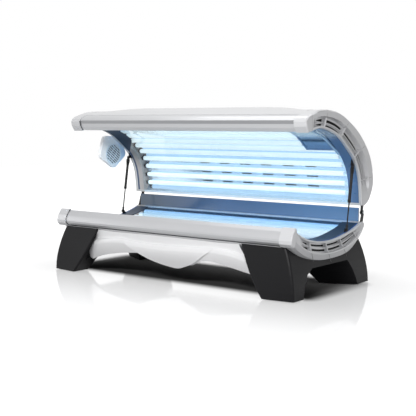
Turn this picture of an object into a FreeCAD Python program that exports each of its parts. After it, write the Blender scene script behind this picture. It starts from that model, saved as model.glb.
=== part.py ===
import FreeCAD, Part
import math
import os

# Clamshell tanning bed, canopy open.
# X runs along the bed, +Y to the back, +Z up, floor at Z = 0, millimetres.
# The bed is drawn about its own middle and moved once, when it is saved, so
# that the origin lies under the middle of the whole, fan pod included.

V = FreeCAD.Vector
os.makedirs("parts", exist_ok=True)

# ---- driving dimensions ---------------------------------------------------
middle_x = 16.03            # the bed's own middle, from the origin
middle_y = -1.73
half_body = 1021.0          # half length of the straight middle of the bed
cap_length = 100.0          # moulded end cap, along X
wall = 4.0                  # moulded shell and cap wall
crown = 35.0                # how much the canopy skin bulges at mid length
rail_wall = 2.5             # aluminium rail wall
seat = 0.3                  # gap under a part that rests on a curved one

hinge_y = 450.0             # canopy hinge line
hinge_z = 520.0
pin_r = 6.0                 # hinge pin radius
pin_fit = 0.05              # radial running fit
arm_thick = 8.0             # hinge arm and hinge plate steel
hinge_gap = 3.0             # washer gap between arm and plate

lamp_r = 19.0               # T12 tube radius
lamp_half = half_body - 53  # half length of the glass tube
ferrule = 17.0              # metal end cap of a lamp
holder_length = 18.0        # lampholder, along X
lamp_drop = 31.0            # lamp centre behind the inner curve
reflector_drop = 54.0       # reflector front face behind the inner curve
reflector_thick = 1.2
trim_high = 16.0            # lower trim of the canopy
trim_wall = 2.5
canopy_lamps = 13
canopy_pitch = 70.5
bench_lamps = 12
bench_pitch = 70.0
acrylic = 5.0               # bench acrylic thickness

facial_x0 = half_body - 264 # facial tanner, from here to the lampholders
facial_s0 = 270.0           # along the canopy inner curve
facial_s1 = 555.0

panel_y = 418.0             # rear panel front face
panel_top = 556.0
panel_thick = 10.0

strut_x = half_body + 83    # plane of the gas struts
strut_low = (210.0, 416.0)  # ball stud on the base (y, z)
strut_high = (285.0, 880.0) # pivot on the canopy (y, z)
strut_tube_r = 11.0
strut_rod_r = 5.0
strut_tube = 268.0          # cylinder length from the upper pivot
strut_eye = 12.5            # outer radius of the end fittings

leg_floor = 6.0             # the leg moulding stops this far above the floor
leg_round = 14.0            # corner radius of the pedestals

pod_gap = 10.0              # from the cap to the inner face of the fan pod
pod_x = -(half_body + cap_length + pod_gap)
pod_deep = 42.0
pod_pin_y = 185.0           # the swivel pin of the pod stands on the rim here
pod_pin_r = 4.0
pod_fan = (126.0, 912.0)    # centre of its grille (y, z)

fan_r = 96.0                # bench cooling fan

# ---- section outlines -----------------------------------------------------
# Matched points from the front to the back: (outer y, z), (inner y, z).
# The lines that join them are the directions of the radial ribs.
canopy_pairs = [
    ((-300, 1242), (-300, 1126)), ((-205, 1267), (-228, 1142)),
    ((-97, 1272), (-140, 1141)), ((60, 1253), (-25, 1116)),
    ((205, 1198), (82, 1074)), ((340, 1122), (185, 1003)),
    ((455, 1024), (278, 930)), ((537, 915), (340, 845)),
    ((579, 782), (373, 760)), ((566, 685), (388, 672)),
    ((508, 608), (396, 610)), ((432, 572), (401, 578))]
base_pairs = [
    ((-505, 357), (-472, 458)), ((-400, 283), (-398, 423)),
    ((-262, 228), (-323, 398)), ((-130, 203), (-215, 377)),
    ((-22, 197), (-111, 367)), ((90, 200), (-15, 366)),
    ((205, 211), (80, 374)), ((305, 241), (180, 390)),
    ((388, 295), (270, 408)), ((448, 343), (345, 430)),
    ((474, 385), (392, 447)), ((462, 430), (424, 455))]
canopy_nose = [(-300, 1126), (-345, 1116), (-374, 1157), (-382, 1190),
               (-368, 1212), (-340, 1228), (-300, 1242)]
base_nose = [(-472, 458), (-485, 491), (-499, 492), (-536, 446), (-549, 408),
             (-546, 384), (-526, 362), (-505, 357)]
rib_marks = [2, 4, 6, 8]    # radial ribs stand at these pairs


# ---- helpers --------------------------------------------------------------
def box(x0, x1, y0, y1, z0, z1):
    return Part.makeBox(x1 - x0, y1 - y0, z1 - z0, V(x0, y0, z0))


def mirror(shape):
    return shape.mirror(V(0, 0, 0), V(1, 0, 0))


def bar_x(x0, x1, y, z, r):
    return Part.makeCylinder(r, x1 - x0, V(x0, y, z), V(1, 0, 0))


def bar(a, b, r):
    d = b - a
    return Part.makeCylinder(r, d.Length, a, d)


def plate(points, x0, x1):
    """Flat plate of a (y, z) outline between two x planes."""
    loop = [V(x0, y, z) for y, z in points]
    face = Part.Face(Part.makePolygon(loop + [loop[0]]))
    return face.extrude(V(x1 - x0, 0, 0))


def fuse(shapes):
    whole = shapes[0]
    for shape in shapes[1:]:
        whole = whole.fuse(shape)
    return whole


def save(name, shapes):
    if not isinstance(shapes, list):
        shapes = [shapes]
    solids = [s for shape in shapes for s in shape.Solids]
    out = solids[0] if len(solids) == 1 else Part.makeCompound(solids)
    out.translated(V(middle_x, middle_y, 0)).exportStep("parts/%s.step" % name)


class Section:
    """Outer and inner curve of a shell, joined by matched points."""

    def __init__(self, pairs):
        self.last = len(pairs) - 1
        marks = [i / self.last for i in range(len(pairs))]
        self.outer = Part.BSplineCurve()
        self.outer.interpolate(Points=[V(0, *a) for a, b in pairs], Parameters=marks)
        self.inner = Part.BSplineCurve()
        self.inner.interpolate(Points=[V(0, *b) for a, b in pairs], Parameters=marks)

    def depth(self, t):
        return (self.inner.value(t) - self.outer.value(t)).Length

    def at(self, t, u):
        """Point u mm from the outer curve towards the inner one."""
        p = self.outer.value(t)
        e = self.inner.value(t) - p
        e.normalize()
        return p + e * u

    def out_at(self, t, off):
        """Point off mm outside the outer curve."""
        return normal_point(self.outer, t, off)

    def run(self, s, off):
        """Point s mm along the inner curve and off mm to its left."""
        t = self.inner.parameterAtDistance(s, 0.0)
        return normal_point(self.inner, t, off)

    def turn(self, s):
        """Angle of the inner curve's left normal from +Y towards +Z."""
        t = self.inner.parameterAtDistance(s, 0.0)
        d = self.inner.tangent(t)[0]
        return math.degrees(math.atan2(d.y, -d.z))

    def length(self):
        return self.inner.length()


def normal_point(curve, t, off):
    d = curve.tangent(t)[0]
    return curve.value(t) + V(0, -d.z, d.y) * off


def smooth(points):
    c = Part.BSplineCurve()
    c.interpolate(points)
    return c.toShape()


def patch(upper, lower, x0, x1):
    """Plate between two smooth rows of (y, z) points, from x0 to x1."""
    a = [V(x0, p.y, p.z) for p in upper]
    b = [V(x0, p.y, p.z) for p in reversed(lower)]
    wire = Part.Wire([smooth(a), Part.makeLine(a[-1], b[0]),
                      smooth(b), Part.makeLine(b[-1], a[0])])
    return Part.Face(wire).extrude(V(x1 - x0, 0, 0))


def spread(a, b, n):
    return [a + (b - a) * i / (n - 1) for i in range(n)]


def sheet(section, s0, s1, off0, off1, x0, x1, n=25):
    """Sheet along the inner curve between two offsets."""
    marks = spread(s0, s1, n)
    return patch([section.run(s, off1) for s in marks],
                 [section.run(s, off0) for s in marks], x0, x1)


def sweep(rings, flat=False):
    """Solid through rings of points, smooth along its length."""
    wires = [Part.makePolygon(r + [r[0]]) for r in rings]
    return Part.makeLoft(wires, True, flat, False, 2)


def fade(t, a, b):
    """Smooth step from 0 at a to 1 at b."""
    k = min(1.0, max(0.0, (t - a) / (b - a)))
    return k * k * (3 - 2 * k)


canopy = Section(canopy_pairs)
base = Section(base_pairs)


# ---- moulded end caps -----------------------------------------------------
cap_face = half_body + cap_length
rim_wide = 17.0             # round inner rim of a cap
slot_back = 27.0            # depth of the slotted shelf behind the face
arc_rib = 7.0               # width of the thin rib between the slot rows


def placed(section, t, points):
    return [V(x, section.at(t, u).y, section.at(t, u).z) for u, x in points]


def canopy_ring(t):
    """Skin of the canopy cap across its depth: (u from the outer edge, x)."""
    d = canopy.depth(t)
    k = min(1.0, d / 110.0)
    edge = d - rim_wide * k
    low = canopy_shelf(t)
    return placed(canopy, t, [
        (0, half_body), (0, cap_face - 12), (10 * k, cap_face), (0.35 * d, cap_face - 2),
        (0.42 * d, low), (edge - 2 * k, low), (edge, cap_face - 3), (edge + 4 * k, cap_face),
        (d - 4 * k, cap_face), (d, cap_face - 5), (d, half_body)])


def canopy_shelf(t):
    return cap_face - 2 - slot_back * fade(t, 0.0, 0.1) * (1 - fade(t, 0.70, 0.86))


def canopy_core(t):
    """Hollow of the canopy cap."""
    d = canopy.depth(t)
    w = wall * min(1.0, d / 110.0)
    low = canopy_shelf(t) - wall
    return placed(canopy, t, [
        (w, half_body - 1), (w, cap_face - 15), (0.32 * d, cap_face - 3 - wall),
        (0.40 * d, low), (d - w, low), (d - w, half_body - 1)])


def base_ring(t):
    """Skin of the base cap: a bowl outside, a slotted shelf near the rim."""
    d = base.depth(t)
    k = min(1.0, d / 150.0)
    edge = d - rim_wide * k
    low = base_shelf(t)
    return placed(base, t, [
        (0, half_body), (2 * k, half_body + 30), (0.07 * d, half_body + 60), (0.20 * d, half_body + 82),
        (0.44 * d, cap_face - 2), (0.5 * d - 2, cap_face - 2), (0.5 * d + 2, low),
        (edge - 2 * k, low), (edge, cap_face - 3), (edge + 4 * k, cap_face),
        (d - 4 * k, cap_face), (d, cap_face - 5), (d, half_body)])


def base_shelf(t):
    return cap_face - 3 - 0.75 * slot_back * fade(t, 0.0, 0.16) * (1 - fade(t, 0.72, 0.86))


def base_core(t):
    """Hollow of the base cap."""
    d = base.depth(t)
    w = wall * min(1.0, d / 150.0)
    low = base_shelf(t) - wall
    return placed(base, t, [
        (w, half_body - 1), (w + 2, half_body + 28), (0.20 * d + w, half_body + 76),
        (0.5 * d - 4, cap_face - 4 - wall), (0.5 * d, low), (d - w, low), (d - w, half_body - 1)])


def slot_rows(section, rows, starts, x0, x1):
    """Arc slots between the radial ribs.  rows: (share of depth, width)."""
    cuts = []
    gap = 0.10 / section.last
    marks = [starts] + [m / section.last for m in rib_marks]
    for a, b in zip(marks[:-1], marks[1:]):
        ts = spread(a + gap, b - gap, 5)
        for share, wide in rows:
            upper = []
            lower = []
            for t in ts:
                thin = fade(t, starts - 0.03, starts + 0.10) * (1 - 0.5 * fade(t, 0.45, 0.72))
                half = 0.5 * max(2.5, wide * thin)
                d = section.depth(t)
                upper.append(section.at(t, share * d - half))
                lower.append(section.at(t, share * d + half))
            cuts.append(patch(upper, lower, x0, x1))
    return cuts


def radial_ribs(section, share, thick, x0, x1):
    ribs = []
    for m in rib_marks:
        t = m / section.last
        d = section.depth(t)
        a = section.at(t, share * d)
        b = section.at(t, d - rim_wide + 5)
        e = b - a
        e.normalize()
        n = V(0, -e.z, e.y) * (thick / 2)
        ribs.append(plate([(p.y, p.z) for p in (a + n, b + n, b - n, a - n)], x0, x1))
    return ribs


def arc_line(section, t0, t1, share, wide, x0, x1):
    """Thin rib that follows the shell at a share of its depth."""
    ts = spread(t0, t1, 9)
    upper = [section.at(t, share * section.depth(t) - wide / 2) for t in ts]
    lower = [section.at(t, share * section.depth(t) + wide / 2) for t in ts]
    return patch(upper, lower, x0, x1)


def nose(points, x0, x1, t_bevel):
    """Hollow front end of a cap; its outer corner is bevelled."""
    cy = sum(p[0] for p in points) / len(points)
    cz = sum(p[1] for p in points) / len(points)

    def shrink(by):
        out = []
        for y, z in points:
            r = math.hypot(y - cy, z - cz)
            out.append((cy + (y - cy) * (r - by) / r, cz + (z - cz) * (r - by) / r))
        return out

    def loop(pts, x):
        p = [V(x, y, z) for y, z in pts]
        return Part.makePolygon(p + [p[0]])

    body = plate(points, x0, x1 - t_bevel)
    front = Part.makeLoft([loop(points, x1 - t_bevel), loop(shrink(t_bevel), x1)], True, True)
    core = plate(shrink(wall + 1), x0 - 1, x1 - t_bevel - wall)
    return fuse([body, front]).cut(core)


def end_plate(skin, along):
    """Closes the free end of a swept cap, just inside its skin."""
    mid = sum(skin, V()) * (1.0 / len(skin))
    loop = [mid + (p - mid) * 0.93 for p in skin]
    return Part.Face(Part.makePolygon(loop + [loop[0]])).extrude(along)


cap_marks = spread(0.0, 1.0, 23)


def moulded_cap(ring, core, section, rows, starts, shelf_share, arc_share, arc_x, nose_points):
    """Right-hand cap: swept skin, hollow, arc slots, ribs, nose and end wall."""
    body = sweep([ring(t) for t in cap_marks])
    body = body.cut(sweep([core(t) for t in cap_marks], True))
    cuts = slot_rows(section, rows, starts, half_body + 30, cap_face + 5)
    body = body.cut(Part.makeCompound(cuts))
    tip = end_plate(ring(1.0), section.outer.tangent(1.0)[0] * -wall)
    arc = arc_line(section, starts, 0.80, arc_share, arc_rib, arc_x - 14, arc_x)
    ribs = radial_ribs(section, shelf_share, 3.0, arc_x - 16, cap_face - 6)
    return fuse([body, nose(nose_points, half_body, cap_face - 1, 7), tip, arc] + ribs)


canopy_cap = moulded_cap(canopy_ring, canopy_core, canopy, [(0.57, 21.0), (0.80, 15.0)],
                         0.085, 0.42, 0.685, cap_face - 17, canopy_nose)
base_cap = moulded_cap(base_ring, base_core, base, [(0.60, 18.0), (0.80, 16.0)],
                       0.10, 0.47, 0.70, cap_face - 12, base_nose)


def ring_disc(x0, x1, y, z, r, hole):
    return bar_x(x0, x1, y, z, r).cut(bar_x(x0 - 1, x1 + 1, y, z, hole))


def inset(points, by):
    """Outline moved inwards by about the same amount on every side."""
    out = []
    n = len(points)
    for i in range(n):
        (ay, az), (py, pz), (cy, cz) = points[i - 1], points[i], points[(i + 1) % n]
        u = V(0, py - ay, pz - az)
        w = V(0, cy - py, cz - pz)
        u.normalize()
        w.normalize()
        nu = V(0, -u.z, u.y)
        nw = V(0, -w.z, w.y)
        m = nu + nw
        k = by / (0.5 * m.Length ** 2)
        out.append((py + m.y * k, pz + m.z * k))
    return out


# ---- rails ----------------------------------------------------------------
canopy_rail = [(-300.3, 1126), (-300.3, 1240), (-336, 1227), (-357, 1215), (-370, 1200),
               (-367, 1176), (-356, 1147), (-341, 1124), (-330, 1121)]
base_rail = [(-472.3, 372), (-472.3, 466), (-482, 481), (-492, 484), (-512, 464), (-528, 439),
             (-539, 416), (-541, 402), (-535, 386), (-521, 371), (-506, 366)]
rail_half = half_body - 0.3


def clockwise(points):
    area = 0.0
    for (a, b), (c, d) in zip(points, points[1:] + points[:1]):
        area += a * d - b * c
    return points if area > 0 else points[::-1]


def rail(points, web_z):
    """Hollow extrusion with one web."""
    body = plate(points, -rail_half, rail_half)
    core = plate(inset(clockwise(points), rail_wall), -rail_half - 1, rail_half + 1)
    web = box(-rail_half - 1, rail_half + 1, -700, 0, web_z, web_z + rail_wall)
    return body.cut(core.cut(web))


# ---- canopy skin ----------------------------------------------------------
def bulge(x, t):
    along_top = math.sin(math.pi * min(1.0, t / 0.62)) ** 2
    return crown * fade(half_body - abs(x), 0, 400) * along_top


def skin_wire(x):
    marks = spread(0.0, 1.0, 23)
    top = [canopy.out_at(t, bulge(x, t)) for t in marks]
    low = [canopy.out_at(t, bulge(x, t) - wall) for t in reversed(marks)]
    a = [V(x, p.y, p.z) for p in top]
    b = [V(x, p.y, p.z) for p in low]
    return Part.Wire([smooth(a), Part.makeLine(a[-1], b[0]), smooth(b), Part.makeLine(b[-1], a[0])])


skin_steps = [half_body, half_body - 91, half_body - 201, half_body - 301, half_body - 421]
skin_x = [-x for x in skin_steps] + [0] + skin_steps[::-1]
canopy_shell = Part.makeLoft([skin_wire(x) for x in skin_x], True, True)

# ---- lamps and reflectors -------------------------------------------------
lamp_end = lamp_half + ferrule
holder_end = lamp_end + holder_length


def lamp_rows(section, side, count, pitch, first):
    """(s, y, z, turn) of every lamp centre."""
    rows = []
    for i in range(count):
        s = first + i * pitch
        p = section.run(s, side * lamp_drop)
        rows.append((s, p.y, p.z, section.turn(s)))
    return rows


def tube(x0, x1, y, z):
    return ring_disc(x0, x1, y, z, lamp_r, lamp_r - 0.9)


def holder(x0, y, z, turn, side):
    """Lampholder block with its pin slot; side is the way to the reflector."""
    block = box(x0, x0 + holder_length, side * 6 - 20, side * 6 + 20, -14, 14)
    slot_x = x0 if x0 > 0 else x0 + holder_length
    block = block.cut(box(slot_x - 3, slot_x + 3, -2.5, 2.5, -20, 20))
    block.rotate(V(0, 0, 0), V(1, 0, 0), turn)
    block.translate(V(0, y, z))
    return block


canopy_first = canopy.length() - 81.0 - (canopy_lamps - 1) * canopy_pitch
canopy_rows = lamp_rows(canopy, 1, canopy_lamps, canopy_pitch, canopy_first)
bench_first = (base.length() - (bench_lamps - 1) * bench_pitch) / 2
bench_rows = lamp_rows(base, -1, bench_lamps, bench_pitch, bench_first)


def reflector(section, side, bends, lip=()):
    """Folded sheet: one bend behind every lamp, flat between them, then a lip (s, depth)."""
    folds = [(s, reflector_drop) for s in bends] + list(lip)
    front = [section.run(s, side * drop) for s, drop in folds]
    back = [section.run(s, side * (drop + reflector_thick)) for s, drop in reversed(folds)]
    return plate([(p.y, p.z) for p in front + back], -holder_end, holder_end)


vent_rows = 7
vent_columns = 6
vent_length = 100.0
vent_pitch = 205.0
vent_wide = 9.0
cuts = []
for i in range(canopy_lamps - 1 - vent_rows, canopy_lamps - 1):
    s = canopy_first + (i + 0.5) * canopy_pitch
    p = canopy.run(s, reflector_drop)
    for j in range(vent_columns):
        x = -390.0 + vent_pitch * j
        c = box(x, x + vent_length, -8, 8, -vent_wide / 2, vent_wide / 2)
        c.rotate(V(0, 0, 0), V(1, 0, 0), canopy.turn(s))
        c.translate(V(0, p.y, p.z))
        cuts.append(c)
canopy_bends = [20] + [row[0] for row in canopy_rows]
low_end = canopy.length()
canopy_lip = [(low_end - 59, reflector_drop), (low_end - 11, trim_wall + 0.5)]
bench_bends = [38] + [row[0] for row in bench_rows] + [base.length() - 62]
canopy_reflector = reflector(canopy, 1, canopy_bends, canopy_lip).cut(Part.makeCompound(cuts))
bench_reflector = reflector(base, -1, bench_bends)

facial_end = facial_x0 - seat - holder_length
canopy_tubes = []
canopy_holders = []
for s, y, z, turn in canopy_rows:
    short = facial_s0 < s < facial_s1
    end = facial_end if short else lamp_end
    canopy_tubes.append(tube(-lamp_end, end, y, z))
    canopy_holders.append(holder(-holder_end, y, z, turn, 1))
    canopy_holders.append(holder(end, y, z, turn, 1))
bench_tubes = [tube(-lamp_end, lamp_end, y, z) for s, y, z, turn in bench_rows]
bench_holders = []
for s, y, z, turn in bench_rows:
    bench_holders.append(holder(-holder_end, y, z, turn, -1))
    bench_holders.append(holder(lamp_end, y, z, turn, -1))

# the holders snap into notches of the reflectors
canopy_reflector = canopy_reflector.cut(Part.makeCompound(canopy_holders))
bench_reflector = bench_reflector.cut(Part.makeCompound(bench_holders))

# ---- end panels and bench acrylic ----------------------------------------
panel_out = cap_face - 22


def bent_sheet(section, s0, s1, outline, n=23):
    """Sheet swept along the inner curve; outline is (offset, x)."""
    rings = []
    for s in spread(s0, s1, n):
        rings.append([V(x, section.run(s, off).y, section.run(s, off).z) for off, x in outline])
    return sweep(rings)


canopy_panel = bent_sheet(canopy, 20, low_end - trim_high - 1, [
    (-0.8, panel_out), (-0.8, half_body - 2), (48, holder_end + 3), (48, holder_end + 1),
    (-2.8, half_body - 3), (-2.8, panel_out)])
# the corner panel covers the upper lamp ends on the left; its lower edge runs aslant
corner_x0 = -half_body - 65
corner_x1 = 96 - half_body
corner_s = 464.0
corner_end = 636.0
corner_rings = []
for s in spread(24, corner_end, 21):
    right = corner_x1 + (corner_x0 + 8 - corner_x1) * max(0.0, s - corner_s) / (corner_end - corner_s)
    rows = ((-3.3, corner_x0), (-3.3, right), (-5.3, right), (-5.3, corner_x0))
    corner_rings.append([V(x, canopy.run(s, off).y, canopy.run(s, off).z) for off, x in rows])
corner_panel = sweep(corner_rings)

# clear shield over the canopy lamps, between the folds of the end panels
shield_half = half_body - 4.8
canopy_shield = sheet(canopy, 22, low_end - trim_high - 1, -2.8, -0.3, -shield_half, shield_half)

# the lower trim closes the canopy between the reflector's lip and the skin
trim_front = [canopy.run(low_end - trim_high * k, 0) for k in (1.0, 0.5, 0.0)]
trim_back = [canopy.run(low_end - trim_high * k, trim_wall) for k in (0.5, 1.0)]
trim_outline = [(p.y, p.z) for p in trim_front]
trim_outline += [(431.2, 572.2), (430.1, 574.8), (404.0, 580.0)]
trim_outline += [(p.y, p.z) for p in trim_back]
canopy_trim = plate(trim_outline, -rail_half, rail_half)
bench_panel = sheet(base, 8, base.length() - 37, seat, seat + 2, lamp_half, panel_out)
bench_acrylic = sheet(base, 4, base.length() - 36, -acrylic, 0, -holder_end, holder_end)

# ---- facial tanner --------------------------------------------------------
facial_x1 = holder_end
frame_bar = 14.0
f_outer = sheet(canopy, facial_s0, facial_s1, 0.5, 9, facial_x0, facial_x1, 8)
f_open = sheet(canopy, facial_s0 + frame_bar, facial_s1 - frame_bar, -2, 12,
               facial_x0 + frame_bar, facial_x1 - frame_bar, 8)
f_step = sheet(canopy, facial_s0 + 6, facial_s1 - 6, 4, 7.5, facial_x0 + 6, facial_x1 - 6, 8)
facial_frame = f_outer.cut(f_open).cut(f_step)
for x in (facial_x0, facial_x1 - 3):
    wall_sheet = sheet(canopy, facial_s0 + 2, facial_s1 - 2, 8, reflector_drop - 1.8, x, x + 3, 8)
    facial_frame = facial_frame.fuse(wall_sheet)
facial_glass = sheet(canopy, facial_s0 + 6.3, facial_s1 - 6.3, 4.3, 7.3,
                     facial_x0 + 6.3, facial_x1 - 6.3, 8)
bowl_r = 42.0
bowl_drop = 9.6            # flat mouths of the bowls, clear of the curved frame
bowl_deep = reflector_drop - 2 - bowl_drop


def folded_bowl(mouth_half, back_half, x0, x1):
    """Four-sided reflector bowl, wide at x0."""
    loops = []
    for half, x in ((mouth_half, x0), (back_half, x1)):
        pts = [V(x, half, half), V(x, -half, half), V(x, -half, -half), V(x, half, -half)]
        loops.append(Part.makePolygon(pts + [pts[0]]))
    return Part.makeLoft(loops, True, True)


facial_bowls = []
facial_burners = []
for k in range(3):
    s = facial_s0 + (facial_s1 - facial_s0) * (k + 0.5) / 3
    p = canopy.run(s, bowl_drop)
    bowl = folded_bowl(bowl_r + 2, 12, 0, bowl_deep).cut(folded_bowl(bowl_r, 10, -1, bowl_deep - 2))
    bulb = Part.makeCylinder(7.7, bowl_deep - 11 - seat, V(9, 0, 0), V(1, 0, 0))
    for shape, keep in ((bowl, facial_bowls), (bulb, facial_burners)):
        shape.rotate(V(0, 0, 0), V(0, 0, 1), 90)
        shape.rotate(V(0, 0, 0), V(1, 0, 0), canopy.turn(s))
        shape.translate(V((facial_x0 + facial_x1) / 2, p.y, p.z))
        keep.append(shape)

# ---- canopy frame and hinges ---------------------------------------------
tube_wide = 26.0
rib_room = 0.6              # between a rib and the skin outside it
rib_thick = 4.0


def square_tube(x0, x1, y, z):
    """Square tube given by its lower front corner."""
    body = box(x0, x1, y, y + tube_wide, z, z + tube_wide)
    return body.cut(box(x0 - 1, x1 + 1, y + 2, y + tube_wide - 2, z + 2, z + tube_wide - 2))


def frame_rib(skin, section, side, bends, x, t0, t1, holes):
    """Flat rib from the reflector's back to the shell, with lightening holes."""
    upper = [skin(x, t) for t in spread(t0, t1, 34)]
    drop = side * (reflector_drop + reflector_thick + seat)
    lower = [section.run(s, drop) for s in reversed(bends)]
    rib = plate([(p.y, p.z) for p in upper + lower], x - rib_thick / 2, x + rib_thick / 2)
    for t in holes:
        deep = section.depth(t) - reflector_drop - wall
        p = section.at(t, 0.5 * deep + wall)
        rib = rib.cut(bar_x(x - rib_thick, x + rib_thick, p.y, p.z, 0.28 * deep))
    return rib


def canopy_skin(x, t):
    return canopy.out_at(t, bulge(x, t) - wall - rib_room)


def base_skin(x, t):
    return base.out_at(t, wall + rib_room)


arm_x = cap_face - 33       # inner face of the canopy arm
plate_x = arm_x + arm_thick + hinge_gap
rear_tube = (470.0, 642.0)
hinge_tube = (398.0, 404.0)
boss_r = 16.0

c_tubes = [square_tube(-half_body, half_body, -290, 1205),
           square_tube(-arm_x, arm_x, *rear_tube),
           square_tube(-half_body, half_body, 120, 1180)]
c_ribs = [frame_rib(canopy_skin, canopy, 1, canopy_bends, x, 0.03, 0.90, [0.22, 0.5, 0.64]) for x in (181 - half_body, 0, half_body - 181)]
canopy_frame = fuse(c_ribs + c_tubes)

arm_outline = [(440, 512), (463, 512), (472, 560), (497, 640), (497, 668), (470, 668), (444, 580)]
plate_outline = [(399, 405), (424, 405), (447, 450), (465, 517), (437, 524), (416, 462)]
bore = bar_x(0, cap_face, hinge_y, hinge_z, pin_r + pin_fit)
hinge_arm = fuse([plate(arm_outline, arm_x, arm_x + arm_thick),
                  bar_x(arm_x, arm_x + arm_thick, hinge_y, hinge_z, boss_r)]).cut(bore)
hinge_plate = fuse([plate(plate_outline, plate_x, plate_x + arm_thick),
                    bar_x(plate_x, plate_x + arm_thick, hinge_y, hinge_z, boss_r)]).cut(bore)
hinge_pin = fuse([bar_x(arm_x - 1, plate_x + arm_thick + 1, hinge_y, hinge_z, pin_r),
                  bar_x(arm_x - 5, arm_x - 1, hinge_y, hinge_z, pin_r + 4),
                  bar_x(plate_x + arm_thick + seat, plate_x + arm_thick + 4, hinge_y, hinge_z, pin_r + 4),
                  bar_x(arm_x + arm_thick + seat, plate_x - seat, hinge_y, hinge_z, pin_r + 5)])
canopy_cap = canopy_cap.cut(box(arm_x - seat, arm_x + arm_thick + seat, 425, 505, 560, 622))
base_cap = base_cap.cut(box(plate_x - seat, plate_x + arm_thick + seat, 402, 464, 426, 476))

# ---- gas struts -----------------------------------------------------------
strut_thick = 9.0
low = V(strut_x, *strut_low)
high = V(strut_x, *strut_high)
along = low - high
strut_span = along.Length
along.normalize()
eye_x0 = strut_x - strut_thick / 2
eye_x1 = strut_x + strut_thick / 2
pivot_r = 5.0
stud_r = 3.5
loose = 6.0                 # room round the lower stud, taken up in mid travel


def on_strut(d):
    return high + along * d


tube_body = bar(on_strut(strut_eye - 2), on_strut(strut_tube), strut_tube_r)
tube_body = tube_body.fuse(bar_x(eye_x0, eye_x1, high.y, high.z, strut_eye))
tube_body = tube_body.cut(bar_x(0, 2000, high.y, high.z, pivot_r + pin_fit))
tube_body = tube_body.cut(bar(on_strut(strut_eye + 10), on_strut(strut_tube - 8), strut_tube_r - 1.5))
strut_cylinder = tube_body.cut(bar(on_strut(strut_eye + 9), on_strut(strut_tube + 1), strut_rod_r + 0.1))
piston = bar(on_strut(strut_tube - 56), on_strut(strut_tube - 44), strut_tube_r - 1.6)
rod = bar(on_strut(strut_tube - 50), on_strut(strut_span - strut_eye), strut_rod_r)
collar = bar(on_strut(strut_span - 34), on_strut(strut_span - strut_eye), strut_rod_r + 3)
eye = bar_x(eye_x0, eye_x1, low.y, low.z, strut_eye + 1.5)
strut_rod = fuse([rod, piston, collar, eye]).cut(bar_x(0, 2000, low.y, low.z, stud_r + loose))


def strut_lug(section, pivot, r_pin, s_mid, half):
    """Lug that stands on the cap rim beside a strut eye, with its stud."""
    side = 1 if section is base else -1
    na = section.run(s_mid - half, side * (seat + 2.6))
    nb = section.run(s_mid + half, side * (seat + 2.6))
    y, z = pivot
    e = (nb - na).normalize() * 6
    corners = [(na.y, na.z), (nb.y, nb.z), (y + e.y, z + e.z), (y - e.y, z - e.z)]
    lug = plate(corners, eye_x0 - 9, eye_x0 - 1.5)
    lug = lug.fuse(bar_x(eye_x0 - 9, eye_x0 - 1.5, y, z, 9))
    return fuse([lug, bar_x(eye_x0 - 2, eye_x1 + 1.5, y, z, r_pin),
                 bar_x(eye_x1 + 1.5, eye_x1 + 4, y, z, r_pin + 3)])


def nearest(section, pivot):
    best = min(range(0, int(section.length())), key=lambda s: (section.run(s, 0) - V(0, *pivot)).Length)
    return float(best)


upper_lug = strut_lug(canopy, strut_high, pivot_r, nearest(canopy, strut_high), 32)
lower_lug = strut_lug(base, strut_low, stud_r, nearest(base, strut_low), 22)

# ---- fan pod on the left end ---------------------------------------------
pod_outline = [(20, 1071), (-36, 895), (136, 785), (288, 909), (198, 1063)]


def rounded(points, x0, x1, r):
    body = plate(points, x0, x1)
    edges = [e for e in body.Edges if abs(e.tangentAt(e.FirstParameter).x) > 0.99]
    return body.makeFillet(r, edges)


pod_back = pod_x - pod_deep
pod_body = rounded(pod_outline, pod_back, pod_x, 42)
pod_rear = [e for e in pod_body.Edges if e.BoundBox.XMax < pod_back + 0.1]
pod_body = pod_body.makeChamfer(12, pod_rear)
small = inset(clockwise(pod_outline), 4)
pod_core = rounded(small, pod_back + 4, pod_x - 4, 38)
pod_core = pod_core.makeChamfer(10, [e for e in pod_core.Edges if e.BoundBox.XMax < pod_back + 4.1])
grille_r = 88.0
fan_y, fan_z = pod_fan
mouth = bar_x(pod_x - 5, pod_x + 1, fan_y, fan_z, grille_r + seat)
pod_housing = pod_body.cut(pod_core).cut(mouth)
grille = bar_x(pod_x - 4, pod_x + 1.5, fan_y, fan_z, grille_r)
slats = []
for i in range(8):
    v = -66.5 + 19 * i
    half = math.sqrt((grille_r - 9) ** 2 - v * v)
    for a, b in ((-half, -half / 3 - 3), (-half / 3 + 3, half / 3 - 3), (half / 3 + 3, half)):
        slats.append(box(pod_x - 6, pod_x + 3, a, b, v - 4.5, v + 4.5))
slats = Part.makeCompound(slats)
slats.rotate(V(0, 0, 0), V(1, 0, 0), -36)
slats.translate(V(0, fan_y, fan_z))
pod_grille = grille.cut(slats)
rim_mark = min(spread(0.0, 1.0, 400), key=lambda t: abs(canopy.inner.value(t).y - pod_pin_y))
pin_at = canopy.at(rim_mark, canopy.depth(rim_mark) - rim_wide / 2)
pin_y, pin_z = pin_at.y, pin_at.z
boss_x = -cap_face - 5 - seat
pod_swivel = fuse([bar_x(pod_x - 4, boss_x, pin_y, pin_z, 13), bar_x(pod_x - 10, pod_x - 3, pin_y, pin_z, 13)])
pod_swivel = pod_swivel.cut(bar_x(pod_x - 20, boss_x + 1, pin_y, pin_z, pod_pin_r + pin_fit))
pod_stud = fuse([bar_x(-cap_face - 5, -cap_face, pin_y, pin_z, 8),
                 bar_x(pod_x - 12, -cap_face - 4, pin_y, pin_z, pod_pin_r),
                 bar_x(pod_x - 15, pod_x - 10 - seat, pin_y, pin_z, 9)])
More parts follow.
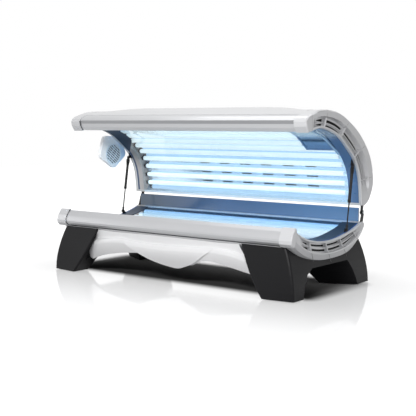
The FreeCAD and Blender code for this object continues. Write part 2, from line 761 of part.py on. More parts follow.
pod_motor = fuse([bar_x(pod_back + 4.3, pod_back + 12, fan_y, fan_z, 24),
                  bar_x(pod_back + 12, pod_back + 22, fan_y, fan_z, 4)])


def impeller(hub_r, tip_r, deep, shaft_r, blades):
    """Axial fan wheel about +X, from x = 0 to deep."""
    parts = [bar_x(0, deep, 0, 0, hub_r).cut(bar_x(-1, deep - 3, 0, 0, shaft_r))]
    half = 0.62 * (deep - 3)
    reach = math.sqrt(tip_r ** 2 - half ** 2) - 1
    for i in range(blades):
        blade = box(deep / 2 - 1, deep / 2 + 1, hub_r - 3, reach, -half, half)
        blade.rotate(V(deep / 2, 0, 0), V(0, 1, 0), 52)
        blade.rotate(V(0, 0, 0), V(1, 0, 0), 360.0 * i / blades)
        parts.append(blade)
    return fuse(parts)


pod_wheel = impeller(22, grille_r - 8, 17, 4 + pin_fit, 7)
pod_wheel.translate(V(pod_back + 13.5, fan_y, fan_z))

# ---- base frame -----------------------------------------------------------
mid_tube_z = 224.0
b_tubes = [square_tube(-half_body, half_body, -441, 331),
           square_tube(-plate_x, plate_x, *hinge_tube),
           square_tube(-half_body, half_body, -213, mid_tube_z),
           square_tube(-half_body, half_body, 187, mid_tube_z)]
b_ribs = [frame_rib(base_skin, base, -1, bench_bends, x, 0.08, 0.93, [0.22, 0.4, 0.6]) for x in spread(121 - half_body, half_body - 121, 4)]
base_chassis = fuse(b_ribs + b_tubes)

skin_marks = spread(0.0, 1.0, 14)
base_shell = patch([base.outer.value(t) for t in skin_marks],
                   [base.out_at(t, wall) for t in skin_marks], -half_body, half_body)

# ---- bench cooling fan ----------------------------------------------------
fan_deep = 46.0
fan_floor = mid_tube_z + tube_wide
fan_plate = box(-130, 130, -213, 213, fan_floor, fan_floor + 2)
fan_plate = fan_plate.cut(Part.makeCylinder(fan_r, 10, V(0, 0, fan_floor - 4)))
fan_ring = Part.makeCylinder(fan_r + 3, fan_deep, V(0, 0, fan_floor + 2))
fan_ring = fan_ring.cut(Part.makeCylinder(fan_r, fan_deep + 2, V(0, 0, fan_floor + 1)))
spoke_z = fan_floor + 2
spokes = [box(-4, 4, -fan_r - 1, fan_r + 1, spoke_z, spoke_z + 4),
          box(-fan_r - 1, fan_r + 1, -4, 4, spoke_z, spoke_z + 4)]
stator = Part.makeCylinder(24, 10, V(0, 0, spoke_z)).fuse(Part.makeCylinder(4, 26, V(0, 0, spoke_z + 8)))
base_fan_housing = fuse([fan_plate, fan_ring, stator] + spokes)
base_fan_rotor = impeller(26, fan_r - 4, 30, 4 + pin_fit, 7)
base_fan_rotor.rotate(V(0, 0, 0), V(0, 1, 0), -90)
base_fan_rotor.translate(V(0, 0, spoke_z + 11))

# ---- ballasts -------------------------------------------------------------
ballasts = []
for x in (-640, -470, 470, 640):
    for y in (-213, 187 + tube_wide - 60):
        can = box(x - 75, x + 75, y, y + 60, fan_floor, fan_floor + 32)
        can = can.cut(box(x - 68, x + 68, y - 1, y + 10, fan_floor + 26, fan_floor + 33))
        ballasts.append(can)

# ---- rear rim and rear panel ---------------------------------------------
rim_outline = [(394, 441), (394, 447), (424, 455.4), (450, 452), (462, 442), (466, 431.2),
               (462.5, 430.3), (456, 438), (446, 446), (424, 450)]
base_rear_rim = plate(rim_outline, -rail_half, rail_half)
panel_half = arm_x - 4
panel_foot = 455.7
panel_face = box(-panel_half, panel_half, panel_y, panel_y + 2, panel_foot, panel_top)
panel_lips = [box(-panel_half, panel_half, panel_y, panel_y + panel_thick, panel_top - 2, panel_top),
              box(-panel_half, panel_half, panel_y, panel_y + panel_thick, panel_foot, panel_foot + 2),
              box(-panel_half, -panel_half + 2, panel_y, panel_y + panel_thick, panel_foot, panel_top),
              box(panel_half - 2, panel_half, panel_y, panel_y + panel_thick, panel_foot, panel_top)]
rear_panel = fuse([panel_face] + panel_lips)

# ---- legs -----------------------------------------------------------------
# corners (x from the end of the middle, y) at four heights:
# front inner, front outer, back outer, back inner
leg_rings = [
    (leg_floor, [(-123, -579), (120, -550), (116, 498), (-126, 500)]),
    (120, [(-206, -566), (109, -545), (107, 490), (-195, 492)]),
    (240, [(-277, -543), (79, -529), (83, 470), (-261, 472)]),
    (356, [(-337, -513), (31, -509), (43, 440), (-323, 442)])]


def leg_block(levels):
    """Pedestal block: four corners that follow smooth paths, each rounded."""
    marks = spread(0.0, 1.0, len(leg_rings))
    paths = []
    for k in range(4):
        c = Part.BSplineCurve()
        c.interpolate(Points=[V(half_body + r[k][0], r[k][1], z) for z, r in leg_rings], Parameters=marks)
        paths.append(c)
    loops = []
    for t in spread(0.0, 1.0, levels):
        pts = []
        ring = [c.value(t) for c in paths]
        for k in range(4):
            before, corner, after = ring[k - 1], ring[k], ring[(k + 1) % 4]
            u = (before - corner).normalize()
            w = (after - corner).normalize()
            pts += [corner + u * leg_round, corner + (u + w) * (0.29 * leg_round), corner + w * leg_round]
        loops.append(Part.makePolygon(pts + [pts[0]]))
    return Part.makeLoft(loops, True, True)


def arch(grow):
    """Opening between the two feet; the rear foot's front face runs aslant."""
    wires = []
    for x, shift in ((half_body - 381, -167.0), (half_body + 219, 168.0)):
        row = [(-427 - grow, -5), (-396 - grow, 90), (-345 - grow, 160), (-270, 196 + grow),
               (112 + shift, 196 + grow), (150 + shift + grow, 140), (186 + shift + grow, 70),
               (218 + shift + grow, -5)]
        wires.append(Part.makePolygon([V(x, y, z) for y, z in row + row[:1]]))
    return Part.makeLoft(wires, True, True)


def tub_space(gap):
    """Everything above the tub's underside."""
    marks = spread(0.0, 1.0, 14)
    low_line = [base.out_at(t, -gap) for t in marks]
    edge = [V(-1, p.y, p.z) for p in low_line]
    top = [V(-1, 640, 430), V(-1, 640, 640), V(-1, -640, 640), V(-1, -640, 357)]
    wire = Part.Wire([smooth(edge), Part.makePolygon([edge[-1]] + top + [edge[0]])])
    return Part.Face(wire).extrude(V(half_body + 1, 0, 0))


def cap_space(drop):
    """The end cap's outer skin, moved down a little."""
    solid = sweep([base_ring(t) for t in cap_marks])
    solid.translate(V(0, 0, -drop))
    return solid


foot_at = [(half_body - 1, -500.0), (half_body - 1, 440.0)]
pad_r = 24.0
leg = leg_block(7).cut(arch(0.0)).cut(tub_space(seat)).cut(cap_space(0.5))
# hollows under the feet: corners at the floor and higher up
foot_rooms = [
    (foot_at[0], [(-112, -568), (109, -541), (107, -438), (-112, -438)],
     [(-181, -555), (98, -534), (96, -410), (-181, -410)]),
    (foot_at[1], [(-112, 250), (107, 450), (105, 489), (-112, 490)],
     [(-176, 150), (94, 420), (92, 480), (-176, 482)])]
room_top = 120.0
for (fx, fy), low_ring, high_ring in foot_rooms:
    loops = []
    for z, ring in ((leg_floor - 1, low_ring), (room_top, high_ring)):
        pts = [V(half_body + x, y, z) for x, y in ring]
        loops.append(Part.makePolygon(pts + [pts[0]]))
    room = Part.makeLoft(loops, True, True)
    post = Part.makeCylinder(16, room_top, V(fx, fy, leg_floor - 1))
    web = box(half_body - 221, half_body + 179, fy - 3, fy + 3, leg_floor - 1, room_top)
    web2 = box(fx - 3, fx + 3, -700, 700, leg_floor - 1, room_top)
    leg = leg.cut(room.cut(fuse([post, web, web2])))
    leg = leg.cut(Part.makeCylinder(8 + pin_fit, 60, V(fx, fy, leg_floor - 1)))
levelling = []
for x in (-foot_at[0][0], foot_at[0][0]):
    for foot_x, y in foot_at:
        glide = Part.makeCylinder(pad_r, leg_floor, V(x, y, 0))
        levelling.append(glide.fuse(Part.makeCylinder(8, 50, V(x, y, 0))))

# ---- front skirt ----------------------------------------------------------
# side view of the panel: (y, z) from the rail down
skirt_line = [(-500, 365), (-489, 338), (-496, 298), (-488, 255), (-466, 195), (-436, 140), (-408, 92)]
lobe_line = [(-494, 318), (-507, 290), (-504, 250), (-484, 192), (-452, 132), (-420, 88)]
skirt_thick = 4.0
wing_left = [(-692, 365), (-745, 290), (-795, 215), (-828, 150), (-838, 118), (-824, 98), (-806, 104),
             (-772, 122), (-700, 137), (-600, 154), (-450, 178), (-330, 198), (-250, 240), (-250, 365)]
wing_right = [(645, 365), (668, 310), (702, 240), (738, 172), (764, 128), (740, 128), (650, 147),
              (560, 166), (480, 184), (410, 196), (330, 196), (250, 165), (200, 175), (200, 365)]
lobe = [(-480, 284), (-400, 244), (-312, 199), (-210, 156), (-110, 128), (-25, 111), (30, 105), (90, 116),
        (176, 144), (245, 178), (305, 216), (350, 250), (400, 285), (300, 294), (100, 284), (-100, 282),
        (-260, 292), (-400, 294)]


stretch = half_body / 1021.0   # the skirt's outlines are drawn for this half length


def outline_xz(points, y0, y1):
    loop = [V(x * stretch, y0, z) for x, z in points]
    return Part.Face(Part.makePolygon(loop + [loop[0]])).extrude(V(0, y1 - y0, 0))


def curved_panel(line, thick, shape):
    """Part of a bent sheet inside an outline seen from the front."""
    c = Part.BSplineCurve()
    c.interpolate(Points=[V(0, y, z) for y, z in line], Parameters=spread(0.0, 1.0, len(line)))
    ts = spread(0.0, 1.0, 9)
    front = [normal_point(c, t, 0) for t in ts]
    back = [normal_point(c, t, thick) for t in reversed(ts)]
    edges = []
    for row in (front, back):
        for i in range(0, 8, 2):
            edges.append(Part.Arc(row[i], row[i + 1], row[i + 2]).toShape())
        edges.append(Part.makeLine(row[-1], back[0] if row is front else front[0]))
    reach = half_body - 121
    sheet_solid = Part.Face(Part.Wire(edges)).extrude(V(2 * reach, 0, 0))
    sheet_solid.translate(V(-reach, 0, 0))
    return sheet_solid.common(shape)


band = outline_xz([(-300, 365), (-300, 285), (250, 285), (250, 365)], -600, -300)
wings = outline_xz(wing_left, -600, -300).fuse(outline_xz(wing_right, -600, -300)).fuse(band)
front_skirt = curved_panel(skirt_line, skirt_thick, wings)
front_skirt = front_skirt.fuse(curved_panel(lobe_line, skirt_thick + 12, outline_xz(lobe, -600, -300)))
under_tub = tub_space(seat)
front_skirt = front_skirt.cut(under_tub.fuse(mirror(under_tub)))
# the left wing tucks into a pocket behind the leg's front face
pocket = outline_xz([(x - (seat if x < -690 else 0), z) for x, z in wing_left], -518, -385)
leg_left = mirror(leg).cut(pocket)

# ---- files ----------------------------------------------------------------
save("canopy_end_cap_right", canopy_cap)
save("canopy_end_cap_left", mirror(canopy_cap))
save("base_end_cap_right", base_cap)
save("base_end_cap_left", mirror(base_cap))
save("canopy_shell", canopy_shell)
save("canopy_front_rail", rail(canopy_rail, 1170))
save("base_front_rail", rail(base_rail, 410))
save("canopy_reflector", canopy_reflector)
save("canopy_lamp_tubes", canopy_tubes)
save("canopy_lampholders", canopy_holders)
save("canopy_end_panel_right", canopy_panel)
save("canopy_end_panel_left", mirror(canopy_panel))
save("canopy_shield", canopy_shield)
save("canopy_corner_panel", corner_panel)
save("canopy_lower_trim", canopy_trim)
save("canopy_frame", canopy_frame)
save("facial_frame", facial_frame)
save("facial_glass", facial_glass)
save("facial_bowls", facial_bowls)
save("facial_burners", facial_burners)
save("hinge_arm_right", hinge_arm)
save("hinge_arm_left", mirror(hinge_arm))
save("hinge_plate_right", hinge_plate)
save("hinge_plate_left", mirror(hinge_plate))
save("hinge_pins", [hinge_pin, mirror(hinge_pin)])
save("strut_bracket_right", upper_lug)
save("strut_bracket_left", mirror(upper_lug))
save("strut_foot_right", lower_lug)
save("strut_foot_left", mirror(lower_lug))
save("strut_cylinder_right", strut_cylinder)
save("strut_cylinder_left", mirror(strut_cylinder))
save("strut_rod_right", strut_rod)
save("strut_rod_left", mirror(strut_rod))
pod_bore = bar_x(pod_x - 20, pod_x + 1, pin_y, pin_z, pod_pin_r + pin_fit)
save("fan_pod_housing", pod_housing.fuse(pod_swivel).cut(pod_bore))
save("fan_pod_grille", pod_grille)
save("fan_pod_stud", pod_stud)
save("fan_pod_motor", pod_motor)
save("fan_pod_wheel", pod_wheel)
save("base_chassis", base_chassis)
save("base_shell", base_shell)
save("base_rear_rim", base_rear_rim)
save("rear_panel", rear_panel)
save("base_fan_housing", base_fan_housing)
save("base_fan_rotor", base_fan_rotor)
save("base_ballasts", ballasts)
save("bench_reflector", bench_reflector)
save("bench_lamp_tubes", bench_tubes)
save("bench_lampholders", bench_holders)
save("bench_end_panel_right", bench_panel)
save("bench_end_panel_left", mirror(bench_panel))
save("bench_acrylic", bench_acrylic)
save("front_skirt", front_skirt)
save("leg_right", leg)
save("leg_left", leg_left)
save("levelling_feet", levelling)
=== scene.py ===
# %% [markdown]
# # Dressing a clamshell tanning bed
# The bed is a lamp bench with a hinged lamp canopy over it.  Its hard parts come
# from the CAD model, already in place and in metres.  This lesson gives each of
# them a finish, adds the small parts that a shop would fit last, and lights it.

# %% Load the frame
import math
import bmesh
import bpy
import numpy as np
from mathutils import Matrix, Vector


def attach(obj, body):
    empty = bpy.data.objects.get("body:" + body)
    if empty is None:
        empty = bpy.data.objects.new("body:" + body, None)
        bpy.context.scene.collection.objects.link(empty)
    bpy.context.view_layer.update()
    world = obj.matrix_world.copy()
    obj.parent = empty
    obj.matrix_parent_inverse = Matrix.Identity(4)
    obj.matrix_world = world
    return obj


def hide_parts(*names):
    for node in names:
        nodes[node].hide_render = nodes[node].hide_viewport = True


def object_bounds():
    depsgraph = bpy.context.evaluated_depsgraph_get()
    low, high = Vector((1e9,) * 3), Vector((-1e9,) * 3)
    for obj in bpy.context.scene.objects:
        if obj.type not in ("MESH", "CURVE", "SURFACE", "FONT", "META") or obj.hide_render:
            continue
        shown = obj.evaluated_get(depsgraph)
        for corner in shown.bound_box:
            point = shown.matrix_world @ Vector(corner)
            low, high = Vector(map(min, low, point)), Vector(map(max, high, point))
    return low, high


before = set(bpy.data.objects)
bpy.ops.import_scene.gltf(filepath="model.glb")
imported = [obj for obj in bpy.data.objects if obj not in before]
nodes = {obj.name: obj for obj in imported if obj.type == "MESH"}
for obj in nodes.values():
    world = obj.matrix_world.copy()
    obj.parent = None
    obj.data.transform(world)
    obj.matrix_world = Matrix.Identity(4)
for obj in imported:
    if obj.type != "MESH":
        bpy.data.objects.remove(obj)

cad_box = [list(map(float, corner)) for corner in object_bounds()]
print("CAD nodes:", len(nodes), "box:", cad_box)

# %% [markdown]
# ## Surfaces from formulas
# Every new piece is a grid of points, worked out as one numpy array.  A grid is
# turned into quads by index arithmetic, so that no loop visits single vertices.
# Shapes are worked out from the bed's own middle, and one shift puts them where
# the CAD model stands, with its box centred over the origin.

# %% Grids of points
middle = np.array([0.01603, -0.00173, 0.0])
merge_distance = 2e-6
sides = ((1, "right"), (-1, "left"))


def grid_faces(rows, cols, close_rows=False, close_cols=False):
    """Quads of a rows x cols grid; closing joins the last line to the first."""
    r = np.arange(rows if close_rows else rows - 1)
    c = np.arange(cols if close_cols else cols - 1)
    i, j = np.meshgrid(r, c, indexing="ij")
    i2, j2 = (i + 1) % rows, (j + 1) % cols
    corners = [i * cols + j, i2 * cols + j, i2 * cols + j2, i * cols + j2]
    return np.stack(corners, -1).reshape(-1, 4)


def join(parts):
    """One (points, quads) pair from several, with the quad numbers moved up."""
    shift = np.cumsum([0] + [len(p) for p, q in parts[:-1]])
    return (np.concatenate([p for p, q in parts]),
            np.concatenate([q + s for (p, q), s in zip(parts, shift)]))


# %% Mesh objects
def surface(name, points, quads, body, material):
    """Smooth mesh object from points (n, 3) and quads (m, 4), riding on a body."""
    mesh = bpy.data.meshes.new(name)
    points = np.asarray(points, float).reshape(-1, 3) + middle
    quads = np.asarray(quads, int)
    mesh.vertices.add(len(points))
    mesh.vertices.foreach_set("co", points.ravel())
    mesh.loops.add(quads.size)
    mesh.loops.foreach_set("vertex_index", quads.ravel())
    mesh.polygons.add(len(quads))
    mesh.polygons.foreach_set("loop_start", np.arange(len(quads)) * 4)
    mesh.polygons.foreach_set("use_smooth", np.full(len(quads), True))
    mesh.update(calc_edges=True)
    work = bmesh.new()
    work.from_mesh(mesh)
    bmesh.ops.remove_doubles(work, verts=work.verts, dist=merge_distance)
    bmesh.ops.dissolve_degenerate(work, edges=work.edges, dist=1e-7)
    bmesh.ops.recalc_face_normals(work, faces=work.faces)
    work.to_mesh(mesh)
    work.free()
    mesh.materials.append(material)
    piece = bpy.data.objects.new(name, mesh)
    bpy.context.scene.collection.objects.link(piece)
    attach(piece, body)
    print(name, len(points), "points", len(quads), "quads")
    return piece


# %% [markdown]
# ## The two section curves
# The canopy and the bench are both long shells with one section.  Each section is
# a smooth cubic line through a dozen points: the outer skin and the inner rim.
# The same line places the lamps, so lamps, rims and skins stay together.

# %% Cubic line
class Line:
    """Cubic spline p(t) through points at even steps of t, in mm, kept in metres.

    Between two points it is the Hermite form of their places and slopes m, where
    m[k-1] + 4 m[k] + m[k+1] = 3 (p[k+1] - p[k-1]) / h makes the bend continuous.
    The slope at each end is that of the cubic through the four points there.
    """

    def __init__(self, points):
        p = np.array(points, float) / 1000.0
        n, h = len(p), 1.0 / (len(p) - 1)
        a = np.eye(n)
        b = np.zeros((n, 2))
        b[0] = (-11 * p[0] + 18 * p[1] - 9 * p[2] + 2 * p[3]) / (6 * h)
        b[-1] = (11 * p[-1] - 18 * p[-2] + 9 * p[-3] - 2 * p[-4]) / (6 * h)
        inside = np.arange(1, n - 1)
        a[inside, inside] = 4
        a[inside, inside - 1] = a[inside, inside + 1] = 1
        b[inside] = 3 * (p[inside + 1] - p[inside - 1]) / h
        self.p, self.h, self.n = p, h, n
        self.m = np.linalg.solve(a, b) * h
        self.ts = np.linspace(0, 1, 4001)
        step = np.linalg.norm(np.diff(self(self.ts), axis=0), axis=1)
        self.run = np.concatenate([[0], np.cumsum(step)])

    def __call__(self, t):
        """Point (y, z) at each t from 0 to 1."""
        t = np.clip(np.asarray(t, float), 0, 1)
        k = np.clip((t / self.h).astype(int), 0, self.n - 2)
        u = (t / self.h - k)[..., None]
        return ((2 * u**3 - 3 * u**2 + 1) * self.p[k] + (u**3 - 2 * u**2 + u) * self.m[k]
                + (-2 * u**3 + 3 * u**2) * self.p[k + 1] + (u**3 - u**2) * self.m[k + 1])

    def normal(self, t):
        """Left-hand unit normal in the (y, z) plane."""
        d = self(np.clip(t + 1e-4, 0, 1)) - self(np.clip(t - 1e-4, 0, 1))
        d /= np.linalg.norm(d, axis=-1, keepdims=True)
        return np.stack([-d[..., 1], d[..., 0]], -1)

    def at_run(self, s):
        """t where the line has run s metres."""
        return np.interp(s, self.run, self.ts)

    def along(self, s, off):
        """Point s metres along the line and off metres to its left."""
        t = self.at_run(np.asarray(s, float))
        return self(t) + self.normal(t) * np.asarray(off, float)[..., None]


# %% Sections of canopy and base
canopy_pairs = [
    ((-300, 1242), (-300, 1126)), ((-205, 1267), (-228, 1142)),
    ((-97, 1272), (-140, 1141)), ((60, 1253), (-25, 1116)),
    ((205, 1198), (82, 1074)), ((340, 1122), (185, 1003)),
    ((455, 1024), (278, 930)), ((537, 915), (340, 845)),
    ((579, 782), (373, 760)), ((566, 685), (388, 672)),
    ((508, 608), (396, 610)), ((432, 572), (401, 578))]
base_pairs = [
    ((-505, 357), (-472, 458)), ((-400, 283), (-398, 423)),
    ((-262, 228), (-323, 398)), ((-130, 203), (-215, 377)),
    ((-22, 197), (-111, 367)), ((90, 200), (-15, 366)),
    ((205, 211), (80, 374)), ((305, 241), (180, 390)),
    ((388, 295), (270, 408)), ((448, 343), (345, 430)),
    ((474, 385), (392, 447)), ((462, 430), (424, 455))]
canopy_out, canopy_in = [Line(points) for points in zip(*canopy_pairs)]
base_out, base_in = [Line(points) for points in zip(*base_pairs)]
print("inner lines:", canopy_in.run[-1], base_in.run[-1])

# %% [markdown]
# ## Shader groups
# Moulded plastic, paint and rolled metal are never one flat value.  Three small
# groups carry what they share: a slow drift of the colour, the fine orange peel
# of a moulded or sprayed skin, and the long lines that a rolling mill leaves.

# %% Group helpers
def shader_group(name, inputs, outputs):
    """Empty shader group with named sockets: (group, input node, output node)."""
    group = bpy.data.node_groups.new(name, "ShaderNodeTree")
    for label, kind, value in inputs:
        socket = group.interface.new_socket(label, in_out="INPUT", socket_type=kind)
        socket.default_value = value
    for label, kind in outputs:
        group.interface.new_socket(label, in_out="OUTPUT", socket_type=kind)
    return group, group.nodes.new("NodeGroupInput"), group.nodes.new("NodeGroupOutput")


def object_place(tree):
    """Object coordinates of the shaded point."""
    return tree.nodes.new("ShaderNodeTexCoord").outputs["Object"]


def noise(tree, where, scale, detail):
    """Noise on object coordinates; scale may be a socket."""
    node = tree.nodes.new("ShaderNodeTexNoise")
    node.inputs["Detail"].default_value = detail
    tree.links.new(where, node.inputs["Vector"])
    if isinstance(scale, float):
        node.inputs["Scale"].default_value = scale
    else:
        tree.links.new(scale, node.inputs["Scale"])
    return node.outputs["Fac"]


def maths(tree, operation, a, b):
    """One math node; a and b are sockets or numbers."""
    node = tree.nodes.new("ShaderNodeMath")
    node.operation = operation
    for socket, value in zip(node.inputs, (a, b)):
        if isinstance(value, (int, float)):
            socket.default_value = value
        else:
            tree.links.new(value, socket)
    return node.outputs[0]


def swing(tree, value, amount, base):
    """base + (value - 0.5) amount, for a value that runs from 0 to 1."""
    change = maths(tree, "MULTIPLY", maths(tree, "SUBTRACT", value, 0.5), amount)
    return maths(tree, "ADD", base, change)


# %% Colour drift
drift, taken, given = shader_group(
    "colour_drift",
    [("Colour", "NodeSocketColor", (0.8, 0.8, 0.8, 1)), ("Amount", "NodeSocketFloat", 0.05),
     ("Scale", "NodeSocketFloat", 3.0)],
    [("Colour", "NodeSocketColor")])
slow = noise(drift, object_place(drift), taken.outputs["Scale"], 4.0)
bright = drift.nodes.new("ShaderNodeHueSaturation")
drift.links.new(swing(drift, slow, taken.outputs["Amount"], 1.0), bright.inputs["Value"])
drift.links.new(taken.outputs["Colour"], bright.inputs["Color"])
drift.links.new(bright.outputs["Color"], given.inputs["Colour"])
print("group:", drift.name)

# %% Orange peel
peel, taken, given = shader_group(
    "orange_peel",
    [("Scale", "NodeSocketFloat", 400.0), ("Roughness", "NodeSocketFloat", 0.3),
     ("Spread", "NodeSocketFloat", 0.1)],
    [("Roughness", "NodeSocketFloat"), ("Height", "NodeSocketFloat")])
where = object_place(peel)
wiped = noise(peel, where, 7.0, 5.0)
gloss = swing(peel, wiped, taken.outputs["Spread"], taken.outputs["Roughness"])
peel.links.new(gloss, given.inputs["Roughness"])
peel.links.new(noise(peel, where, taken.outputs["Scale"], 2.0), given.inputs["Height"])
print("group:", peel.name)

# %% Rolled lines
rolled, taken, given = shader_group(
    "rolled_lines",
    [("Across", "NodeSocketFloat", 900.0), ("Roughness", "NodeSocketFloat", 0.25),
     ("Spread", "NodeSocketFloat", 0.15)],
    [("Roughness", "NodeSocketFloat"), ("Height", "NodeSocketFloat")])
pull = rolled.nodes.new("ShaderNodeMapping")
pull.inputs["Scale"].default_value = (0.02, 1.0, 1.0)
rolled.links.new(object_place(rolled), pull.inputs["Vector"])
lines = noise(rolled, pull.outputs["Vector"], taken.outputs["Across"], 3.0)
gloss = swing(rolled, lines, taken.outputs["Spread"], taken.outputs["Roughness"])
rolled.links.new(gloss, given.inputs["Roughness"])
rolled.links.new(lines, given.inputs["Height"])
print("group:", rolled.name)

# %% [markdown]
# ## Finishes
# The real bed has lacquered and moulded plastic, rolled aluminium sheet, painted
# steel, rubber and glass.  Each could have a node tree of its own, but they differ
# only in numbers.  So one function builds a finish: a Principled shader whose
# colour goes through the drift group, and whose gloss and relief come from orange
# peel or rolled lines.

# %% Finish builder
def finish(name, colour, rough, metal=0.0, spread=0.08, relief=peel, scale=420.0,
           height=0.000004, coat=0.0, coat_rough=0.08, specular=0.5):
    """Procedural finish; colour is linear RGB and height is in metres."""
    material = bpy.data.materials.new(name)
    material.use_nodes = True
    tree = material.node_tree
    shader = tree.nodes["Principled BSDF"]
    tint = tree.nodes.new("ShaderNodeGroup")
    tint.node_tree = drift
    tint.inputs["Colour"].default_value = (*colour, 1)
    tree.links.new(tint.outputs["Colour"], shader.inputs["Base Color"])
    skin = tree.nodes.new("ShaderNodeGroup")
    skin.node_tree = relief
    skin.inputs[0].default_value = scale
    skin.inputs["Roughness"].default_value = rough
    skin.inputs["Spread"].default_value = spread
    tree.links.new(skin.outputs["Roughness"], shader.inputs["Roughness"])
    bump = tree.nodes.new("ShaderNodeBump")
    bump.inputs["Distance"].default_value = height
    tree.links.new(skin.outputs["Height"], bump.inputs["Height"])
    tree.links.new(bump.outputs["Normal"], shader.inputs["Normal"])
    for label, value in (("Metallic", metal), ("Coat Weight", coat),
                         ("Coat Roughness", coat_rough), ("Specular IOR Level", specular)):
        shader.inputs[label].default_value = value
    return material


def rolled_sheet(name, colour, rough, **more):
    """Finish of a rolled or drawn metal part."""
    return finish(name, colour, rough, relief=rolled, **more)


# %% Lacquer and metal
silver = finish("silver_lacquer", (0.575, 0.58, 0.595), 0.28, metal=0.15, spread=0.02,
                coat=0.35, coat_rough=0.24)
rail_look = dict(metal=0.45, spread=0.05, height=0.00001, coat=0.3, coat_rough=0.12)
rail_silver = rolled_sheet("rail_lacquer", (0.50, 0.505, 0.52), 0.30, **rail_look)
rail_shade_band = rolled_sheet("handle_rail_lacquer", (0.5, 0.5, 0.5), 0.30, **rail_look)
sheet_look = dict(metal=1.0, spread=0.08, height=0.000006)
bright_sheet = rolled_sheet("bright_rolled_sheet", (0.64, 0.77, 0.92), 0.24, **sheet_look)
bench_sheet = rolled_sheet("bench_rolled_sheet", (0.26, 0.46, 0.78), 0.24, **sheet_look)
plain_steel = rolled_sheet("plain_steel", (0.55, 0.55, 0.57), 0.28, metal=1.0)
steel_grey = finish("frame_grey", (0.16, 0.165, 0.17), 0.5, metal=0.3, scale=700.0)
steel_black = finish("strut_black", (0.004, 0.004, 0.005), 0.42, specular=0.22)
ferrule_metal = finish("lamp_ferrule", (0.74, 0.79, 0.84), 0.30, metal=0.35, scale=900.0)
print("finishes:", len(bpy.data.materials))

# %% Plastic and rubber
holder_black = finish("lampholder_black", (0.012, 0.012, 0.014), 0.45, scale=900.0)
canopy_holders = finish("canopy_lampholders", (0.3, 0.3, 0.3), 0.45, scale=900.0)
panel_blue = finish("end_panel_blue", (0.022, 0.045, 0.085), 0.42, spread=0.12, specular=0.22)
panel_mid = finish("end_panel_mid_blue", (0.075, 0.17, 0.36), 0.28, spread=0.12, coat=0.3)
panel_warm = finish("end_panel_warm_grey", (0.42, 0.41, 0.41), 0.35, spread=0.12, coat=0.15)
boot_black = finish("strut_boot_black", (0.004, 0.004, 0.0045), 0.55, specular=0.2, scale=900.0)
pod_white = finish("pod_white", (0.60, 0.70, 0.82), 0.28, coat=0.4)
grille_white = finish("pod_grille_white", (0.60, 0.70, 0.82), 0.35)
fan_dark = finish("fan_dark", (0.03, 0.03, 0.035), 0.5)
rear_blue = finish("rear_panel_blue", (0.07, 0.16, 0.34), 0.20, coat=0.6, spread=0.06)
leg_black = finish("leg_anthracite", (0.0065, 0.0065, 0.0075), 0.42, scale=1400.0,
                   height=0.00005, spread=0.10, specular=0.14)
skirt_white = finish("skirt_gloss_white", (0.78, 0.78, 0.79), 0.10, coat=1.0, coat_rough=0.03,
                     spread=0.03)
rubber = finish("glide_rubber", (0.02, 0.02, 0.02), 0.7, scale=1500.0)
print("finishes:", len(bpy.data.materials))

# %% Rims, edges and seams
rim_blue = finish("rear_rim_blue", (0.48, 0.66, 0.88), 0.25, coat=0.4)
edge_blue = finish("bench_sheet_edge_blue", (0.03, 0.16, 0.60), 0.20, coat=0.5)
edge_clear = finish("shield_edge", (0.36, 0.60, 0.88), 0.14, coat=0.5)
lip_blue = finish("canopy_lower_lip", (0.66, 0.80, 0.93), 0.22, coat=0.5)
# the lip of the canopy caps is painted near white as a highlight
lip_painted_highlight = finish("cap_lip_painted_highlight", (0.85, 0.85, 0.86), 0.18, coat=0.6)
frame_blue = finish("facial_frame_blue", (0.15, 0.31, 0.58), 0.28, coat=0.3)
seam_grey = finish("seam_grey", (0.16, 0.163, 0.17), 0.5)
seam_dark = finish("seam_shadow_grey", (0.045, 0.046, 0.05), 0.6)
print("finishes:", len(bpy.data.materials))

# %% [markdown]
# ## Lit glass and clear sheets
# A lit lamp is mostly its own light.  A light source inside every tube would be
# slow and noisy, so the glass glows by itself.  The sheets over the lamps are clear
# plastic with a faint tint, and the filter glass of the facial tanner is deep blue.

# %% Lit and clear finishes
def principled(material):
    """The material's own shader node."""
    return material.node_tree.nodes["Principled BSDF"]


def lit_glass(name, colour, strength):
    """Lamp glass with its lit powder coat: mostly its own light."""
    material = finish(name, (0.55, 0.62, 0.66), 0.15, scale=600.0)
    principled(material).inputs["Emission Color"].default_value = (*colour, 1)
    principled(material).inputs["Emission Strength"].default_value = strength
    return material


def clear_sheet(name, colour, rough, ior, through):
    """Clear plastic or filter glass; through is the share of light that passes."""
    material = finish(name, colour, rough, spread=0.02, height=0.000005)
    principled(material).inputs["Transmission Weight"].default_value = through
    principled(material).inputs["IOR"].default_value = ior
    return material


lamp_glass = lit_glass("lamp_glass_lit", (0.80, 0.96, 1.0), 0.62)
bench_lamp_glass = lit_glass("bench_lamp_glass_lit", (0.86, 0.98, 1.0), 0.68)
acrylic = clear_sheet("bench_acrylic_clear", (0.88, 0.95, 1.0), 0.03, 1.3, 1.0)
shield_acrylic = clear_sheet("canopy_shield_clear", (0.955, 0.985, 1.0), 0.03, 1.22, 1.0)
filter_glass = clear_sheet("facial_filter_glass", (0.22, 0.44, 0.75), 0.06, 1.3, 0.25)
print("finishes:", len(bpy.data.materials))

# %% [markdown]
# ## Colours that change along a part
# Some parts pass from one colour to another: the painted light of the lamps falls
# off along a panel, or one moulding carries a rim, a painted shadow line and a
# strip.  Most ramps here paint light and shade: reflections and highlights on the
# clear sheets, shade in the grille's slots and along the handle rail, and glows on
# parts that are no lamps.  A ramp over one axis of the part feeds its colour, and a
# part that glows takes the same ramp.

# %% Ramps
def tint_of(material):
    """The colour drift node of a finish."""
    return [n for n in material.node_tree.nodes if n.type == "GROUP" and n.node_tree == drift][0]


